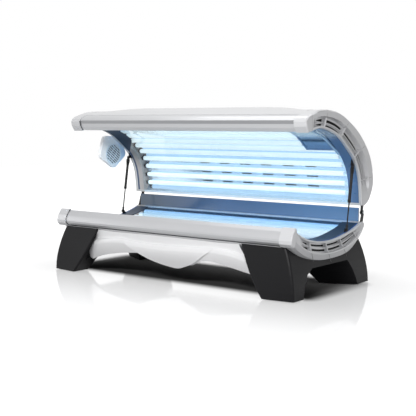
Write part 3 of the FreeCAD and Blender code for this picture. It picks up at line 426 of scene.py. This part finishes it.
def recolour(material, axis, low, high, points):
    """Ramp a finish's colour along one object axis from low to high in metres.

    Points are (place from 0 to 1, linear colour).
    """
    tree = material.node_tree
    axes = tree.nodes.new("ShaderNodeSeparateXYZ")
    tree.links.new(object_place(tree), axes.inputs[0])
    span = tree.nodes.new("ShaderNodeMapRange")
    tree.links.new(axes.outputs[axis], span.inputs["Value"])
    span.inputs["From Min"].default_value = low
    span.inputs["From Max"].default_value = high
    ramp = tree.nodes.new("ShaderNodeValToRGB")
    ramp.color_ramp.interpolation = "EASE"
    tree.links.new(span.outputs["Result"], ramp.inputs["Fac"])
    bands = ramp.color_ramp.elements
    while len(bands) < len(points):
        bands.new(1.0)
    for band, (place, colour) in zip(bands, points):
        band.position = place
        band.color = (*colour, 1)
    tree.links.new(ramp.outputs["Color"], tint_of(material).inputs["Colour"])


def painted_glow(material, strength):
    """Painted glow: let a part that is no lamp shine a little in its own colour."""
    shader = principled(material)
    material.node_tree.links.new(tint_of(material).outputs["Colour"],
                                 shader.inputs["Emission Color"])
    shader.inputs["Emission Strength"].default_value = strength


# %% Ramps of the clear sheets
# painted reflection: the bench sheet is painted deeper blue towards the back, where
# no lamp faces the eye and it would mirror the rear panel and canopy
recolour(acrylic, "Y", -0.30, 0.42, [
    (0.0, (0.94, 0.98, 1.0)), (0.66, (0.90, 0.96, 1.0)), (0.80, (0.60, 0.80, 0.98)),
    (0.90, (0.40, 0.63, 0.93))])
# the filter glass is painted palest at its top as a highlight, with a dark band of
# painted reflection between the two lower bowls
recolour(filter_glass, "Z", 1.005, 1.118, [
    (0.0, (0.24, 0.46, 0.82)), (0.30, (0.30, 0.54, 0.88)), (0.46, (0.06, 0.12, 0.22)),
    (0.60, (0.36, 0.60, 0.90)), (1.0, (0.55, 0.78, 0.98))])
print("ramps on:", acrylic.name, filter_glass.name)

# %% Ramps of the mouldings
# painted light: the canopy's lampholders are black at the left end and painted pale
# blue at the right end, where the lamps' light fills them, with a painted glow
recolour(canopy_holders, "X", -0.2, 0.2, [(0.0, (0.012, 0.012, 0.014)), (1.0, (0.55, 0.78, 0.95))])
painted_glow(canopy_holders, 0.35)
# painted light: the fan pod is a frosted moulding, painted from white to blue as if
# it took up the blue light of the lamps, and given a painted glow
recolour(pod_white, "Y", 0.00, 0.28, [
    (0.0, (0.86, 0.89, 0.92)), (0.35, (0.70, 0.80, 0.90)), (1.0, (0.36, 0.58, 0.84))])
painted_glow(pod_white, 0.16)
# painted shade: the grille is white on its face and painted dark down the walls of
# its slots, where shade falls; it has a painted glow as well
recolour(grille_white, "X", -1.119, -1.1135, [
    (0.0, (0.010, 0.028, 0.060)), (0.84, (0.012, 0.032, 0.070)), (0.96, (0.60, 0.74, 0.87)),
    (1.0, (0.62, 0.76, 0.88))])
painted_glow(grille_white, 0.16)
# painted light: the rear panel is painted lighter towards the right end, as the
# lamps' light falls off along it
recolour(rear_blue, "X", -1.05, 1.05, [
    (0.0, (0.040, 0.075, 0.125)), (0.5, (0.055, 0.125, 0.27)), (1.0, (0.085, 0.20, 0.40))])
# the canopy's left end panel has a white rim, a painted dark blue shadow line, then a
# warm strip
recolour(panel_warm, "X", -1.13, -1.00, [
    (0.0, (0.70, 0.71, 0.72)), (0.42, (0.70, 0.71, 0.72)), (0.46, (0.05, 0.09, 0.18)),
    (0.58, (0.07, 0.11, 0.20)), (0.62, (0.52, 0.50, 0.49)), (1.0, (0.46, 0.45, 0.45))])
# painted shade: the handle rail has a dark band painted along its front, standing in
# for the shading of its nose
recolour(rail_shade_band, "Z", 1.10, 1.26, [
    (0.0, (0.52, 0.525, 0.54)), (0.45, (0.50, 0.505, 0.52)), (0.48, (0.26, 0.265, 0.275)),
    (0.61, (0.26, 0.265, 0.275)), (0.635, (0.52, 0.525, 0.54)), (1.0, (0.50, 0.505, 0.52))])
print("ramps on:", canopy_holders.name, pod_white.name, rear_blue.name, rail_shade_band.name)

# %% [markdown]
# ## Every CAD part gets its finish
# A bed is made of a few materials, each used on many parts.  The parts could get
# theirs one by one, but a table is shorter, and it shows at a glance which of them
# share a material.  The print names any part that the table leaves out.

# %% Finish of each part
parts_by_finish = [
    ("canopy_end_cap_left canopy_end_cap_right base_end_cap_left base_end_cap_right "
     "canopy_shell base_shell", silver),
    ("base_front_rail", rail_silver),
    ("canopy_lower_trim", lip_blue),
    ("base_rear_rim", rim_blue),
    ("canopy_front_rail", rail_shade_band),
    ("canopy_reflector facial_bowls", bright_sheet),
    ("bench_reflector", bench_sheet),
    ("canopy_lamp_tubes facial_burners", lamp_glass),
    ("bench_lamp_tubes", bench_lamp_glass),
    ("bench_lampholders fan_pod_motor", holder_black),
    ("canopy_lampholders", canopy_holders),
    ("canopy_corner_panel bench_end_panel_left bench_end_panel_right", panel_blue),
    ("canopy_end_panel_right", panel_mid),
    ("facial_frame", frame_blue),
    ("canopy_end_panel_left", panel_warm),
    ("facial_glass", filter_glass),
    ("bench_acrylic", acrylic),
    ("canopy_shield", shield_acrylic),
    ("canopy_frame base_chassis base_fan_housing base_ballasts", steel_grey),
    ("hinge_arm_left hinge_arm_right hinge_plate_left hinge_plate_right strut_bracket_left "
     "strut_bracket_right strut_foot_left strut_foot_right strut_cylinder_left "
     "strut_cylinder_right strut_rod_left strut_rod_right", steel_black),
    ("hinge_pins", plain_steel),
    ("fan_pod_housing fan_pod_stud", pod_white),
    ("fan_pod_grille", grille_white),
    ("fan_pod_wheel base_fan_rotor", fan_dark),
    ("rear_panel", rear_blue),
    ("leg_left leg_right", leg_black),
    ("front_skirt", skirt_white),
    ("levelling_feet", rubber)]
for names, material in parts_by_finish:
    for name in names.split():
        mesh = nodes[name].data
        mesh.materials.clear()
        mesh.materials.append(material)
dressed = {name for names, material in parts_by_finish for name in names.split()}
print("nodes without a finish:", sorted(set(nodes) - dressed))

# %% [markdown]
# ## Lamps
# A tanning lamp is a 38 mm glass tube with a drawn neck, an aluminium ferrule at
# each end, and the pins inside the lampholder.  Glass and ferrules are turned, so
# profiles carried round the axis make them, and the section line places the bank.

# %% Turned forms
tube_radius = 0.019


def turned(profile, y, z, around=24):
    """Profile (x, r) carried round the line through (y, z): (x, y + r cos a, z + r sin a)."""
    x, r = np.asarray(profile, float).T
    a = np.linspace(0, 2 * np.pi, around, endpoint=False)
    points = np.stack([np.repeat(x, around), y + np.outer(r, np.cos(a)).ravel(),
                       z + np.outer(r, np.sin(a)).ravel()], -1)
    return points, grid_faces(len(x), around, close_cols=True)


def glass_profile(x0, x1):
    """Tube between two ferrules, with a short drawn neck at each end: (x, r)."""
    neck = [(0.0056, 0), (0.0056, 0.0168), (0.008, 0.0184), (0.012, tube_radius)]
    return [(x0 + d, r) for d, r in neck] + [(x1 - d, r) for d, r in neck[::-1]]


def ferrule_profile(x, way):
    """Ferrule from the outer end x inwards: (x, r); way is +1 or -1."""
    steps = [(0, 0), (0, 0.0145), (0.0008, 0.0164), (0.0045, 0.0168), (0.0052, 0.0177),
             (0.0060, 0.0177), (0.0060, 0)]
    return [(x + way * d, r) for d, r in steps]


# %% Banks of lamps
lamp_end, lamp_drop = 0.985, 0.031
canopy_lamps, canopy_pitch = 13, 0.0705
bench_lamps, bench_pitch = 12, 0.070
canopy_edge_gap = 0.081
facial_run, facial_end = (0.270, 0.555), 0.7387


def bank(line, side, count, pitch, first, short=(0, 0)):
    """Ends and centres (x0, x1, y, z) of lamps beside a section line.

    Lamps whose run along the line is between the two values of short end at the
    facial tanner.
    """
    runs = first + pitch * np.arange(count)
    centres = line.along(runs, np.full(count, side * lamp_drop))
    ends = [facial_end if short[0] < s < short[1] else lamp_end for s in runs]
    return [(-lamp_end, x1, y, z) for x1, (y, z) in zip(ends, centres)]


canopy_first = canopy_in.run[-1] - canopy_edge_gap - (canopy_lamps - 1) * canopy_pitch
bench_first = (base_in.run[-1] - (bench_lamps - 1) * bench_pitch) / 2
canopy_bank = bank(canopy_in, 1, canopy_lamps, canopy_pitch, canopy_first, facial_run)
bench_bank = bank(base_in, -1, bench_lamps, bench_pitch, bench_first)
print("lamps:", len(canopy_bank), "over", len(bench_bank))

# %% Canopy and bench lamps
for label, rows, body, glass in (("canopy", canopy_bank, "canopy", lamp_glass),
                                 ("bench", bench_bank, "base", bench_lamp_glass)):
    glasses = join([turned(glass_profile(a, b), y, z) for a, b, y, z in rows])
    tubes = surface(label + "_lamp_glass", *glasses, body, glass)
    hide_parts(label + "_lamp_tubes")
    ends = [turned(ferrule_profile(a, 1), y, z, 20) for a, b, y, z in rows]
    ends += [turned(ferrule_profile(b, -1), y, z, 20) for a, b, y, z in rows]
    surface(label + "_lamp_ferrules", *join(ends), body, ferrule_metal)

# %% [markdown]
# ## Closed plates
# A moulded panel is a thin closed plate: a front grid, a back grid one wall behind
# it, and a band of quads round the border.  A Solidify modifier could add the wall,
# but two grids also let it lean.  The profile is read from a few points by a cubic
# that never swings past them, and a bevel rounds the edges.

# %% Plates
sheet_wall = 0.0008


def smooth_line(points, at):
    """Monotone cubic through (x, y) points, read at the values at.

    The slope at a point is the harmonic mean of the slopes beside it, or 0 at a
    turning point, so that the line never overshoots.
    """
    x, y = np.asarray(points, float).T
    step, slope = np.diff(x), np.diff(y) / np.diff(x)
    m = np.zeros(len(x))
    same = slope[:-1] * slope[1:] > 0
    m[1:-1][same] = 2 * slope[:-1][same] * slope[1:][same] / (slope[:-1] + slope[1:])[same]
    m[0], m[-1] = slope[0], slope[-1]
    at = np.clip(at, x[0], x[-1])
    k = np.clip(np.searchsorted(x, at, side="right") - 1, 0, len(x) - 2)
    u = (at - x[k]) / step[k]
    return ((2 * u**3 - 3 * u**2 + 1) * y[k] + (u**3 - 2 * u**2 + u) * m[k] * step[k]
            + (-2 * u**3 + 3 * u**2) * y[k + 1] + (u**3 - u**2) * m[k + 1] * step[k])


def plate(front, back):
    """Closed plate between two grids of points (rows, cols, 3), walled along the border."""
    rows, cols = front.shape[:2]
    faces = grid_faces(rows, cols)
    number = np.arange(rows * cols).reshape(rows, cols)
    rim = np.concatenate([number[0, :-1], number[:-1, -1], number[-1, :0:-1], number[:0:-1, 0]])
    ahead = np.roll(rim, -1)
    wall = np.stack([rim, ahead, ahead + rows * cols, rim + rows * cols], -1)
    points = np.concatenate([front.reshape(-1, 3), back.reshape(-1, 3)])
    return points, np.concatenate([faces, faces[:, ::-1] + rows * cols, wall])


def soften(piece, width, segments=3):
    """Rounded edges where two faces meet at more than 40 degrees."""
    bevel = piece.modifiers.new("round_edges", "BEVEL")
    bevel.width = width
    bevel.segments = segments
    bevel.limit_method = "ANGLE"
    bevel.angle_limit = math.radians(40.0)


# %% [markdown]
# ## Seams of the end caps
# The moulded caps meet the long skin in a fine shadow line, and each radial rib
# goes on across the outer band as a thin joint.  A shadow line is a narrow bead,
# sunk for most of its height: a small rectangle carried along a path.  A cut
# groove would take a far denser mesh, and a dark bead reads the same.

# %% Bead along a path
# width and height of each kind of bead
bead_sizes = {
    "rib_bar": (0.0065, 0.0110), "base_joint": (0.0016, 0.0014), "canopy_joint": (0.0016, 0.0009),
    "shell_seam": (0.0022, 0.0010), "edge_line": (0.0030, 0.0009), "lip": (0.0060, 0.0040),
    "bench_edge": (0.0050, 0.0030)}


def bead(path, lift, kind):
    """Rectangle carried along path (n, 3); lift (n, 3) points out of the surface.

    Its corners are p + a side width / 2 + b lift height, with side = ahead x lift,
    a = -1 or 1, and b = -1 below the surface or 0.35 above it.
    """
    width, height = bead_sizes[kind]
    side = np.cross(np.gradient(path, axis=0), lift)
    side /= np.linalg.norm(side, axis=1, keepdims=True)
    corners = [(-1, -1), (1, -1), (1, 0.35), (-1, 0.35)]
    rings = [path + side * (a * width / 2) + lift * (height * b) for a, b in corners]
    n = len(path)
    caps = np.array([[0, 1, 2, 3], [4 * n - 4, 4 * n - 3, 4 * n - 2, 4 * n - 1]])
    quads = np.concatenate([grid_faces(n, 4, close_cols=True), caps])
    return np.stack(rings, 1).reshape(-1, 3), quads


def on_skin(line, inner, t, x, share):
    """Points (x, line(t) + share (inner(t) - line(t)))."""
    t = np.asarray(t, float)
    yz = line(t) + (inner(t) - line(t)) * np.asarray(share)[..., None]
    return np.column_stack([np.broadcast_to(x, t.shape), yz])


def outward(line, inner, t):
    """Unit normal of the outer line, pointing away from the inner one."""
    out = -line.normal(t)
    return out * np.sign(np.sum(out * (line(t) - inner(t)), axis=1))[:, None]


# %% Lines on a cap
half_body, cap_face = 1.021, 1.121
rib_t = np.array([2, 4, 6, 8]) / 11


def mirrored(side):
    """Factors that carry a point of the right-hand end to the given side."""
    return np.array([side, 1, 1])


def on_face(line, inner, t, side, share, x):
    """Path through t and share on the flat of a cap, and its lift along X."""
    path = on_skin(line, inner, t, x, share)
    return path * mirrored(side), np.tile([side, 0.0, 0.0], (len(path), 1))


def rib_path(line, inner, t, side, shares, drop, count):
    """Straight path across the flat of a cap at one rib, drop below the face."""
    return on_face(line, inner, np.full(count, t), side, np.linspace(*shares, count),
                   cap_face - drop)


def face_line(line, inner, share, side, t0, t1, x, count=90):
    """Line on the flat of a cap: from t0 to t1, at a share of the way to the inner line."""
    return on_face(line, inner, np.linspace(t0, t1, count), side, np.full(count, share), x)


def cap_joint(line, inner, t, side, top_share):
    """Joint of one rib: over the skin, round the edge and down the outer band.

    The path steps in x along the skin, then in share down the band; its lift turns
    from the skin's normal to the X axis on the way round the edge.
    """
    depth = float(np.linalg.norm(inner(t) - line(t)))
    x = np.array([half_body + 0.004, 1.06, 1.095, cap_face - 0.0125, cap_face - 0.005,
                  cap_face - 0.0005, cap_face - 0.0012, cap_face - 0.002])
    share = np.array([0, 0, 0, 0, 0.0035 / depth, 0.011 / depth, 0.6 * top_share,
                      top_share - 0.01])
    path = on_skin(line, inner, np.full(8, t), x, share)
    turn = np.array([0, 0, 0, 0.15, 0.7, 1, 1, 1.0])[:, None]
    lift = np.column_stack([turn, (1 - turn) * outward(line, inner, np.array([t]))])
    lift /= np.linalg.norm(lift, axis=1, keepdims=True)
    return bead(path * mirrored(side), lift * mirrored(side), "canopy_joint")


# %% Seams and shade sheets
def skin_seam(line, inner, x, t0, t1, count=110):
    """Joint between a cap and the long skin: a bead round the section at x.

    It stays inside the CAD model's box at the back of the canopy.
    """
    t = np.linspace(t0, t1, count)
    lift = np.column_stack([np.zeros(count), outward(line, inner, t)])
    points, quads = bead(on_skin(line, inner, t, x, np.zeros(count)), lift, "shell_seam")
    points[:, 1] = np.minimum(points[:, 1], cad_box[1][1] - middle[1] - 0.0001)
    return points, quads


def shade_sheet(line, inner, side, x, shares=(0.47, 0.90), t0=0.10, t1=0.78, count=80):
    """Dark sheet behind the slots, painted shade for their insides: between two shares, from t0 to
    t1, at x.
    """
    t = np.linspace(t0, t1, count)
    rows = [on_skin(line, inner, t, x, np.full(count, share)) for share in np.linspace(*shares, 4)]
    front = np.stack(rows, 1) * mirrored(side)
    return plate(front, front - [side * sheet_wall, 0, 0])


# %% Dress the four caps
canopy_lines, base_lines = (canopy_out, canopy_in), (base_out, base_in)
bar_drop, joint_drop, joint_shares, band_share = 0.0052, 0.0020, (0.09, 0.44), 0.35
for side, end in sides:
    for body, lines, shares, back in (("canopy", canopy_lines, (0.425, 0.945), 0.0345),
                                      ("base", base_lines, (0.505, 0.93), 0.0290)):
        ribs = [bead(*rib_path(*lines, t, side, shares, bar_drop, 10), "rib_bar") for t in rib_t]
        bars = surface(body + "_cap_rib_bars_" + end, *join(ribs), body, silver)
        soften(bars, 0.0009, 2)
        # painted shade: a dark sheet behind the slots of each cap stands in for the shade inside
        # them
        surface(body + "_slot_shade_sheet_" + end, *shade_sheet(*lines, side, cap_face - back), body,
                boot_black)
    joints = [bead(*rib_path(*base_lines, t, side, joint_shares, joint_drop, 8), "base_joint")
              for t in rib_t]
    surface("base_cap_joints_" + end, *join(joints), "base", seam_grey)
    for body, lines, t0, t1 in (("canopy", canopy_lines, 0.085, 0.965),
                                ("base", base_lines, 0.06, 0.955)):
        surface(body + "_shell_seam_" + end, *skin_seam(*lines, side * half_body, t0, t1), body,
                seam_grey)
    # the lip along the inner edge of the canopy caps is a bead painted lighter than the silver, as
    # a painted highlight
    for label, share, t0, t1, x, look in (("edge_line", 0.075, 0.06, 0.93, 1.1203, seam_dark),
                                          ("lip", 0.965, 0.10, 0.90, 1.1165, lip_painted_highlight)):
        strip = bead(*face_line(*canopy_lines, share, side, t0, t1, x), label)
        surface("canopy_cap_" + label + "_" + end, *strip, "canopy", look)
    joints = [cap_joint(*canopy_lines, t, side, band_share) for t in rib_t]
    surface("canopy_cap_joints_" + end, *join(joints), "canopy", seam_dark)

# %% [markdown]
# ## Strut boots
# Each gas strut has a moulded boot under its upper eye, and a round stop ring where
# the rod enters the cylinder.  Both are rings carried along the strut.  The boot's
# are wider in the plane of the strut than across it, where a plain cylinder would
# look too round.  They are hollow, so that the rod can slide when the canopy moves.

# %% Rings along a strut
strut_low, strut_high, strut_x = np.array([0.210, 0.416]), np.array([0.285, 0.880]), 1.104
boot_rings = [(0.0135, 0.0105, 0.0105), (0.016, 0.0155, 0.0115), (0.030, 0.0175, 0.0125),
              (0.048, 0.0165, 0.0125), (0.060, 0.0135, 0.0122), (0.066, 0.0125, 0.0120),
              (0.068, 0.0113, 0.0113), (0.068, 0.0105, 0.0105)]
stop_rings = [(0.258, 0.0105, 0.0105), (0.258, 0.0113, 0.0113), (0.2595, 0.0125, 0.0125),
              (0.2725, 0.0125, 0.0125), (0.2755, 0.0105, 0.0105), (0.2755, 0.0075, 0.0075)]


def sleeve(start, way, x, rings, around=20):
    """Elliptical rings (distance, half width, half depth) along a line in the plane x.

    Points are start + distance way + wide cos(a) over + deep sin(a) X, where over
    stands square to way in the plane.
    """
    way = way / np.linalg.norm(way)
    d, wide, deep = np.asarray(rings, float).T
    a = np.linspace(0, 2 * np.pi, around, endpoint=False)
    centre = start + np.outer(d, way)
    over = np.array([-way[1], way[0]])
    yz = centre[:, None, :] + (wide[:, None] * np.cos(a))[..., None] * over
    points = np.concatenate([(x + deep[:, None] * np.sin(a))[..., None], yz], -1)
    return points.reshape(-1, 3), grid_faces(len(d), around, close_rows=True, close_cols=True)


for side, end in sides:
    for label, rings in (("boot", boot_rings), ("stop_ring", stop_rings)):
        points, quads = sleeve(strut_high, strut_low - strut_high, side * strut_x, rings)
        surface("strut_" + label + "_" + end, points, quads, "strut_cylinder_" + end, boot_black)

# %% [markdown]
# ## Screen and lit edges
# A dark disc closes the grille of the fan pod from behind, so that its slots show
# dark.  The clear bench sheet and the clear shield under the canopy lamps carry
# light to their ends, where it shows as a blue edge.  Light that travels inside a
# sheet is slow to trace, so thin blue strips stand in for it: beside both base
# caps, and at the right end of the shield.

# %% Dark disc behind the fan pod's grille
def disc(x, y, z, radius, rings=6, around=48):
    """Flat closed disc at x: a turned profile out to the radius and back."""
    r = np.concatenate([np.linspace(0, radius, rings), np.linspace(radius, 0, rings)])
    faces = np.concatenate([np.full(rings, x), np.full(rings, x - sheet_wall)])
    return turned(np.stack([faces, r], -1), y, z, around)


screen_centre, screen_radius = (-1.1355, 0.126, 0.912), 0.0845
surface("fan_pod_screen", *disc(*screen_centre, screen_radius), "fan_pod", boot_black)

# %% Lit edge of the bench sheet
edge_steps, edge_x, edge_off = 60, 1.0965, 0.0022
s = np.linspace(0.30, base_in.run[-1] - 0.045, edge_steps)
path = np.column_stack([np.full(edge_steps, edge_x),
                        base_in.along(s, np.full(edge_steps, edge_off))])
lift = np.column_stack([np.zeros(edge_steps), base_in.normal(base_in.at_run(s))])
for side, end in sides:
    strip = bead(path * mirrored(side), lift * mirrored(side), "bench_edge")
    surface("bench_edge_light_" + end, *strip, "base", edge_blue)

# %% Edge of the shield
shield_s = np.linspace(0.026, 0.600, edge_steps)
shield_x = np.interp(shield_s, [0.026, 0.27, 0.56, 0.600], [0.962, 0.966, 1.006, 1.010])
shield_face = -0.0029
edge_rings = [(-0.011, -0.0031), (-0.010, -0.0046), (0.0, -0.0056), (0.010, -0.0046),
              (0.011, -0.0031)]


def beside_lamps(dx, off):
    """Row of points dx beside the shield's end and off metres from the inner line."""
    return np.column_stack([shield_x + dx, canopy_in.along(shield_s, np.full(edge_steps, off))])


front = np.stack([beside_lamps(dx, off) for dx, off in edge_rings], 1)
back = np.stack([beside_lamps(dx, shield_face) for dx, off in edge_rings], 1)
surface("shield_edge_right", *plate(front, back), "canopy", edge_clear)

# %% [markdown]
# ## The front skirt
# The skirt is a vacuum-formed gloss panel: a shaded band under the rail, a sharp
# crease, and below it a full form that rolls in towards the floor.  A lobe lies
# over its middle, so that the panel shows as a wing on each side.  Both follow one
# height field: the depth y depends on the height over the crease, and the crease
# itself rises and falls along the bed, so the highlight is a long soft curve.

# %% Lines of the skirt
crease = [(-840, 252), (-737, 271), (-670, 282), (-551, 296), (-465, 301), (-377, 291),
          (-264, 285), (-154, 282), (-45, 283), (61, 286), (166, 290), (268, 293), (368, 297),
          (437, 301), (515, 298), (611, 287), (696, 268), (770, 250)]
fold = [(-215, -404), (-180, -424), (-145, -446), (-110, -467), (-80, -482), (-52, -493),
        (-32, -498), (-16, -496.5), (-6, -491), (-1, -484.5), (3, -481), (8, -481), (30, -485),
        (60, -492), (105, -501)]
wing_low = [(-838, 98), (-806, 104), (-770, 119), (-684, 145), (-588, 165), (-471, 183),
            (-378, 192), (-299, 198), (-150, 206), (0, 200), (110, 160), (186, 147), (247, 172),
            (308, 192), (368, 198), (467, 184), (564, 166), (659, 149), (734, 138), (764, 128)]
left_edge = [(98, -826), (118, -838), (150, -828), (215, -795), (290, -745), (365, -692)]
right_edge = [(98, 776), (128, 764), (172, 738), (240, 702), (310, 668), (365, 645)]
lobe_low = [(-462, 296), (-440, 284), (-378, 241), (-288, 198), (-199, 160), (-111, 135),
            (-25, 118), (48, 110), (144, 134), (217, 163), (288, 202), (348, 240), (418, 284),
            (428, 295)]
skirt_top, skirt_drop = 355, 257
wing_left, wing_length = -826, 1590
lobe_left, lobe_half = -462, 445
print("skirt from", crease[0][0], "to", crease[-1][0], "mm")


def skirt_depth(x, z):
    """Depth in mm: y = fold(z - crease(x))."""
    return smooth_line(fold, z - smooth_line(crease, x))


def panel(x, y, z, back_y, back_z):
    """Plate through (x, y, z) in mm, with its back moved by metres along Y and Z."""
    front = np.stack([x, y, z], -1) / 1000
    return plate(front, front + [0, back_y, back_z])


# %% Wings
u, v = np.meshgrid(np.linspace(0, 1, 150), np.linspace(0, 1, 110))
side_z = skirt_top - v * skirt_drop
left_x, right_x = smooth_line(left_edge, side_z), smooth_line(right_edge, side_z)
x = left_x + (right_x - left_x) * u
z = skirt_top + (smooth_line(wing_low, wing_left + wing_length * u) - skirt_top) * v
wings = surface("skirt_wings", *panel(x, skirt_depth(x, z), z, 0.004, 0.0005), "base", skirt_white)
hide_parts("front_skirt")
soften(wings, 0.0012)

# %% Lobe
# columns stand closer at both ends, where the lower edge climbs to the crease
u, v = np.meshgrid(np.linspace(0, 1, 170), np.linspace(0, 1, 70))
start = np.cos(np.pi * 0.04)
x = lobe_left + lobe_half * (start - np.cos(np.pi * (0.04 + 0.92 * u))) / start
high = smooth_line(crease, x) - 1.5
low = np.minimum(smooth_line(lobe_low, x), high)
z = high + (low - high) * v
# it stands 1.2 mm proud at the crease and swells by 9 mm below it; its lower edge
# rolls out by another 2.2 mm
lift = 9.0 * (1 - np.exp(-((high - z) / 45.0) ** 2)) + 1.2
roll = 2.2 * np.exp(-(z - low) / 9.0) * np.clip((high - low) / 30.0, 0, 1)
lobe_plate = panel(x, skirt_depth(x, z) - lift - roll, z, 0.0055, 0.0008)
lobe = surface("skirt_lobe", *lobe_plate, "base", skirt_white)
soften(lobe, 0.0016)

# %% [markdown]
# ## Floor and backdrop
# The bed stands on a white glossy studio floor.  The floor is white to the camera
# and to reflections, so the light can stay at a plain level, and it still shows
# the soft shadow and a faint mirror image of the bed.  Near the bed its own light
# is dimmed, and under the bed, where hardly any light comes, it is painted matt and
# dark: a painted shadow.

# %% Floor helpers
def vector(tree, operation, a, b=None):
    """One vector math node; a is a socket and b a triple."""
    node = tree.nodes.new("ShaderNodeVectorMath")
    node.operation = operation
    tree.links.new(a, node.inputs[0])
    if b is not None:
        node.inputs[1].default_value = b
    return node.outputs["Value" if operation == "LENGTH" else "Vector"]


def ramp(tree, value, low, high, to_low, to_high):
    """Smooth step of a value from low to high."""
    node = tree.nodes.new("ShaderNodeMapRange")
    node.interpolation_type = "SMOOTHSTEP"
    tree.links.new(value, node.inputs["Value"])
    for label, number in (("From Min", low), ("From Max", high), ("To Min", to_low),
                          ("To Max", to_high)):
        node.inputs[label].default_value = number
    return node.outputs["Result"]


def seen(tree):
    """1 for rays from the eye, from a reflection or through glass, and 0 for light."""
    path = tree.nodes.new("ShaderNodeLightPath").outputs
    straight = maths(tree, "MAXIMUM", path["Is Camera Ray"], path["Is Glossy Ray"])
    return maths(tree, "MAXIMUM", straight, path["Is Transmission Ray"])


# %% Floor
footprint, floor_half, floor_drop = (1.12, 0.33, 9.0), 14, -0.0005
floor_mat = bpy.data.materials.new("studio_floor")
floor_mat.use_nodes = True
tree = floor_mat.node_tree
shader = tree.nodes["Principled BSDF"]
shader.inputs["Base Color"].default_value = (0.42, 0.42, 0.424, 1)
shader.inputs["Roughness"].default_value = 0.07
shader.inputs["Specular IOR Level"].default_value = 0.2
shader.inputs["Emission Color"].default_value = (1, 1, 1, 1)

# distance from the bed's footprint: length of max(|p| - half size, 0)
where = object_place(tree)
beyond = vector(tree, "SUBTRACT", vector(tree, "ABSOLUTE", where), footprint)
distance = vector(tree, "LENGTH", vector(tree, "MAXIMUM", beyond, (0, 0, 0)))
# painted shadow: its own light rises from 0.40 at the bed to 0.70 at 1.5 m from it
own_light = maths(tree, "MULTIPLY", seen(tree), ramp(tree, distance, 0.0, 1.5, 0.40, 0.70))
tree.links.new(own_light, shader.inputs["Emission Strength"])

# painted shadow: under the bed it is matt, and painted darkest in front
under = tree.nodes.new("ShaderNodeBsdfDiffuse")
axes = tree.nodes.new("ShaderNodeSeparateXYZ")
tree.links.new(where, axes.inputs[0])
tree.links.new(ramp(tree, axes.outputs["Y"], -0.30, 0.45, 0.06, 0.55), under.inputs["Color"])
both = tree.nodes.new("ShaderNodeMixShader")
tree.links.new(ramp(tree, distance, 0.0, 0.16, 0.0, 1.0), both.inputs["Fac"])
tree.links.new(under.outputs["BSDF"], both.inputs[1])
tree.links.new(shader.outputs["BSDF"], both.inputs[2])
tree.links.new(both.outputs["Shader"], tree.nodes["Material Output"].inputs["Surface"])

corners = [(x, y, floor_drop) for x, y in ((-floor_half, -floor_half), (floor_half, -floor_half),
                                           (floor_half, floor_half), (-floor_half, floor_half))]
floor_mesh = bpy.data.meshes.new("floor")
floor_mesh.from_pydata(corners, [], [(0, 1, 2, 3)])
floor_mesh.materials.append(floor_mat)
floor = bpy.data.objects.new("floor", floor_mesh)
bpy.context.scene.collection.objects.link(floor)
print("floor:", 2 * floor_half, "m square")

# %% World
world = bpy.data.worlds.new("studio")
world.use_nodes = True
bpy.context.scene.world = world
tree = world.node_tree
back = tree.nodes["Background"]
back.inputs["Color"].default_value = (1, 1, 1, 1)
# white to the eye, and a low even light on the bed
world_light = 0.14
strength = maths(tree, "ADD", maths(tree, "MULTIPLY", seen(tree), 1 - world_light), world_light)
tree.links.new(strength, back.inputs["Strength"])
print("world:", world.name)

# %% [markdown]
# ## Light
# Rectangular area lamps stand in for a studio's soft boxes.  Small lamps would
# draw hard shadows and sharp glints on so much gloss.  A wide box hangs over the
# bed, a long narrow one above its front draws the highlights of rails and skirt,
# and two weak ones open up the ends.

# %% Lamps of the studio
def soft_box(name, place, aim, size, watts):
    """Rectangular area lamp at place, facing aim."""
    data = bpy.data.lights.new(name, "AREA")
    data.shape = "RECTANGLE"
    data.size, data.size_y = size
    data.energy = watts
    lamp = bpy.data.objects.new(name, data)
    bpy.context.scene.collection.objects.link(lamp)
    away = np.array(place, float) - np.array(aim, float)
    lamp.location = place
    yaw = math.atan2(away[0], -away[1])
    lamp.rotation_euler = (math.acos(away[2] / np.linalg.norm(away)), 0, yaw)
    print(name, watts, "W")


soft_box("top_box", (0.0, 0.3, 4.2), (0, 0.1, 0.6), (5.0, 3.0), 72)
soft_box("key_over_front", (1.2, -4.2, 2.7), (0, 0, 0.5), (2.6, 0.6), 170)
soft_box("fill_right", (4.8, -2.0, 1.2), (0.8, 0, 0.7), (3.2, 3.2), 50)
soft_box("fill_left", (-4.5, -3.0, 1.6), (0, 0, 0.4), (2.5, 2.0), 20)

# %% [markdown]
# ## Camera
# A long lens, 7 m away at the front right, level with the canopy's upper lamps and
# looking slightly down.  From so far the rails stay nearly parallel, and bench,
# canopy and the right-hand caps show at once.

# %% Camera
place, look_down, look_left = (4.283, -5.486, 1.192), 5.497, 37.98
lens = bpy.data.cameras.new("camera")
lens.lens = 77.88
lens.sensor_width = 36.0
lens.clip_end = 100.0
camera = bpy.data.objects.new("camera", lens)
camera.location = np.add(place, middle)
camera.rotation_euler = (math.radians(90 - look_down), 0, math.radians(look_left))
bpy.context.scene.collection.objects.link(camera)
bpy.context.scene.camera = camera
bpy.context.scene.view_settings.view_transform = "Standard"
print("camera:", lens.lens, "mm")
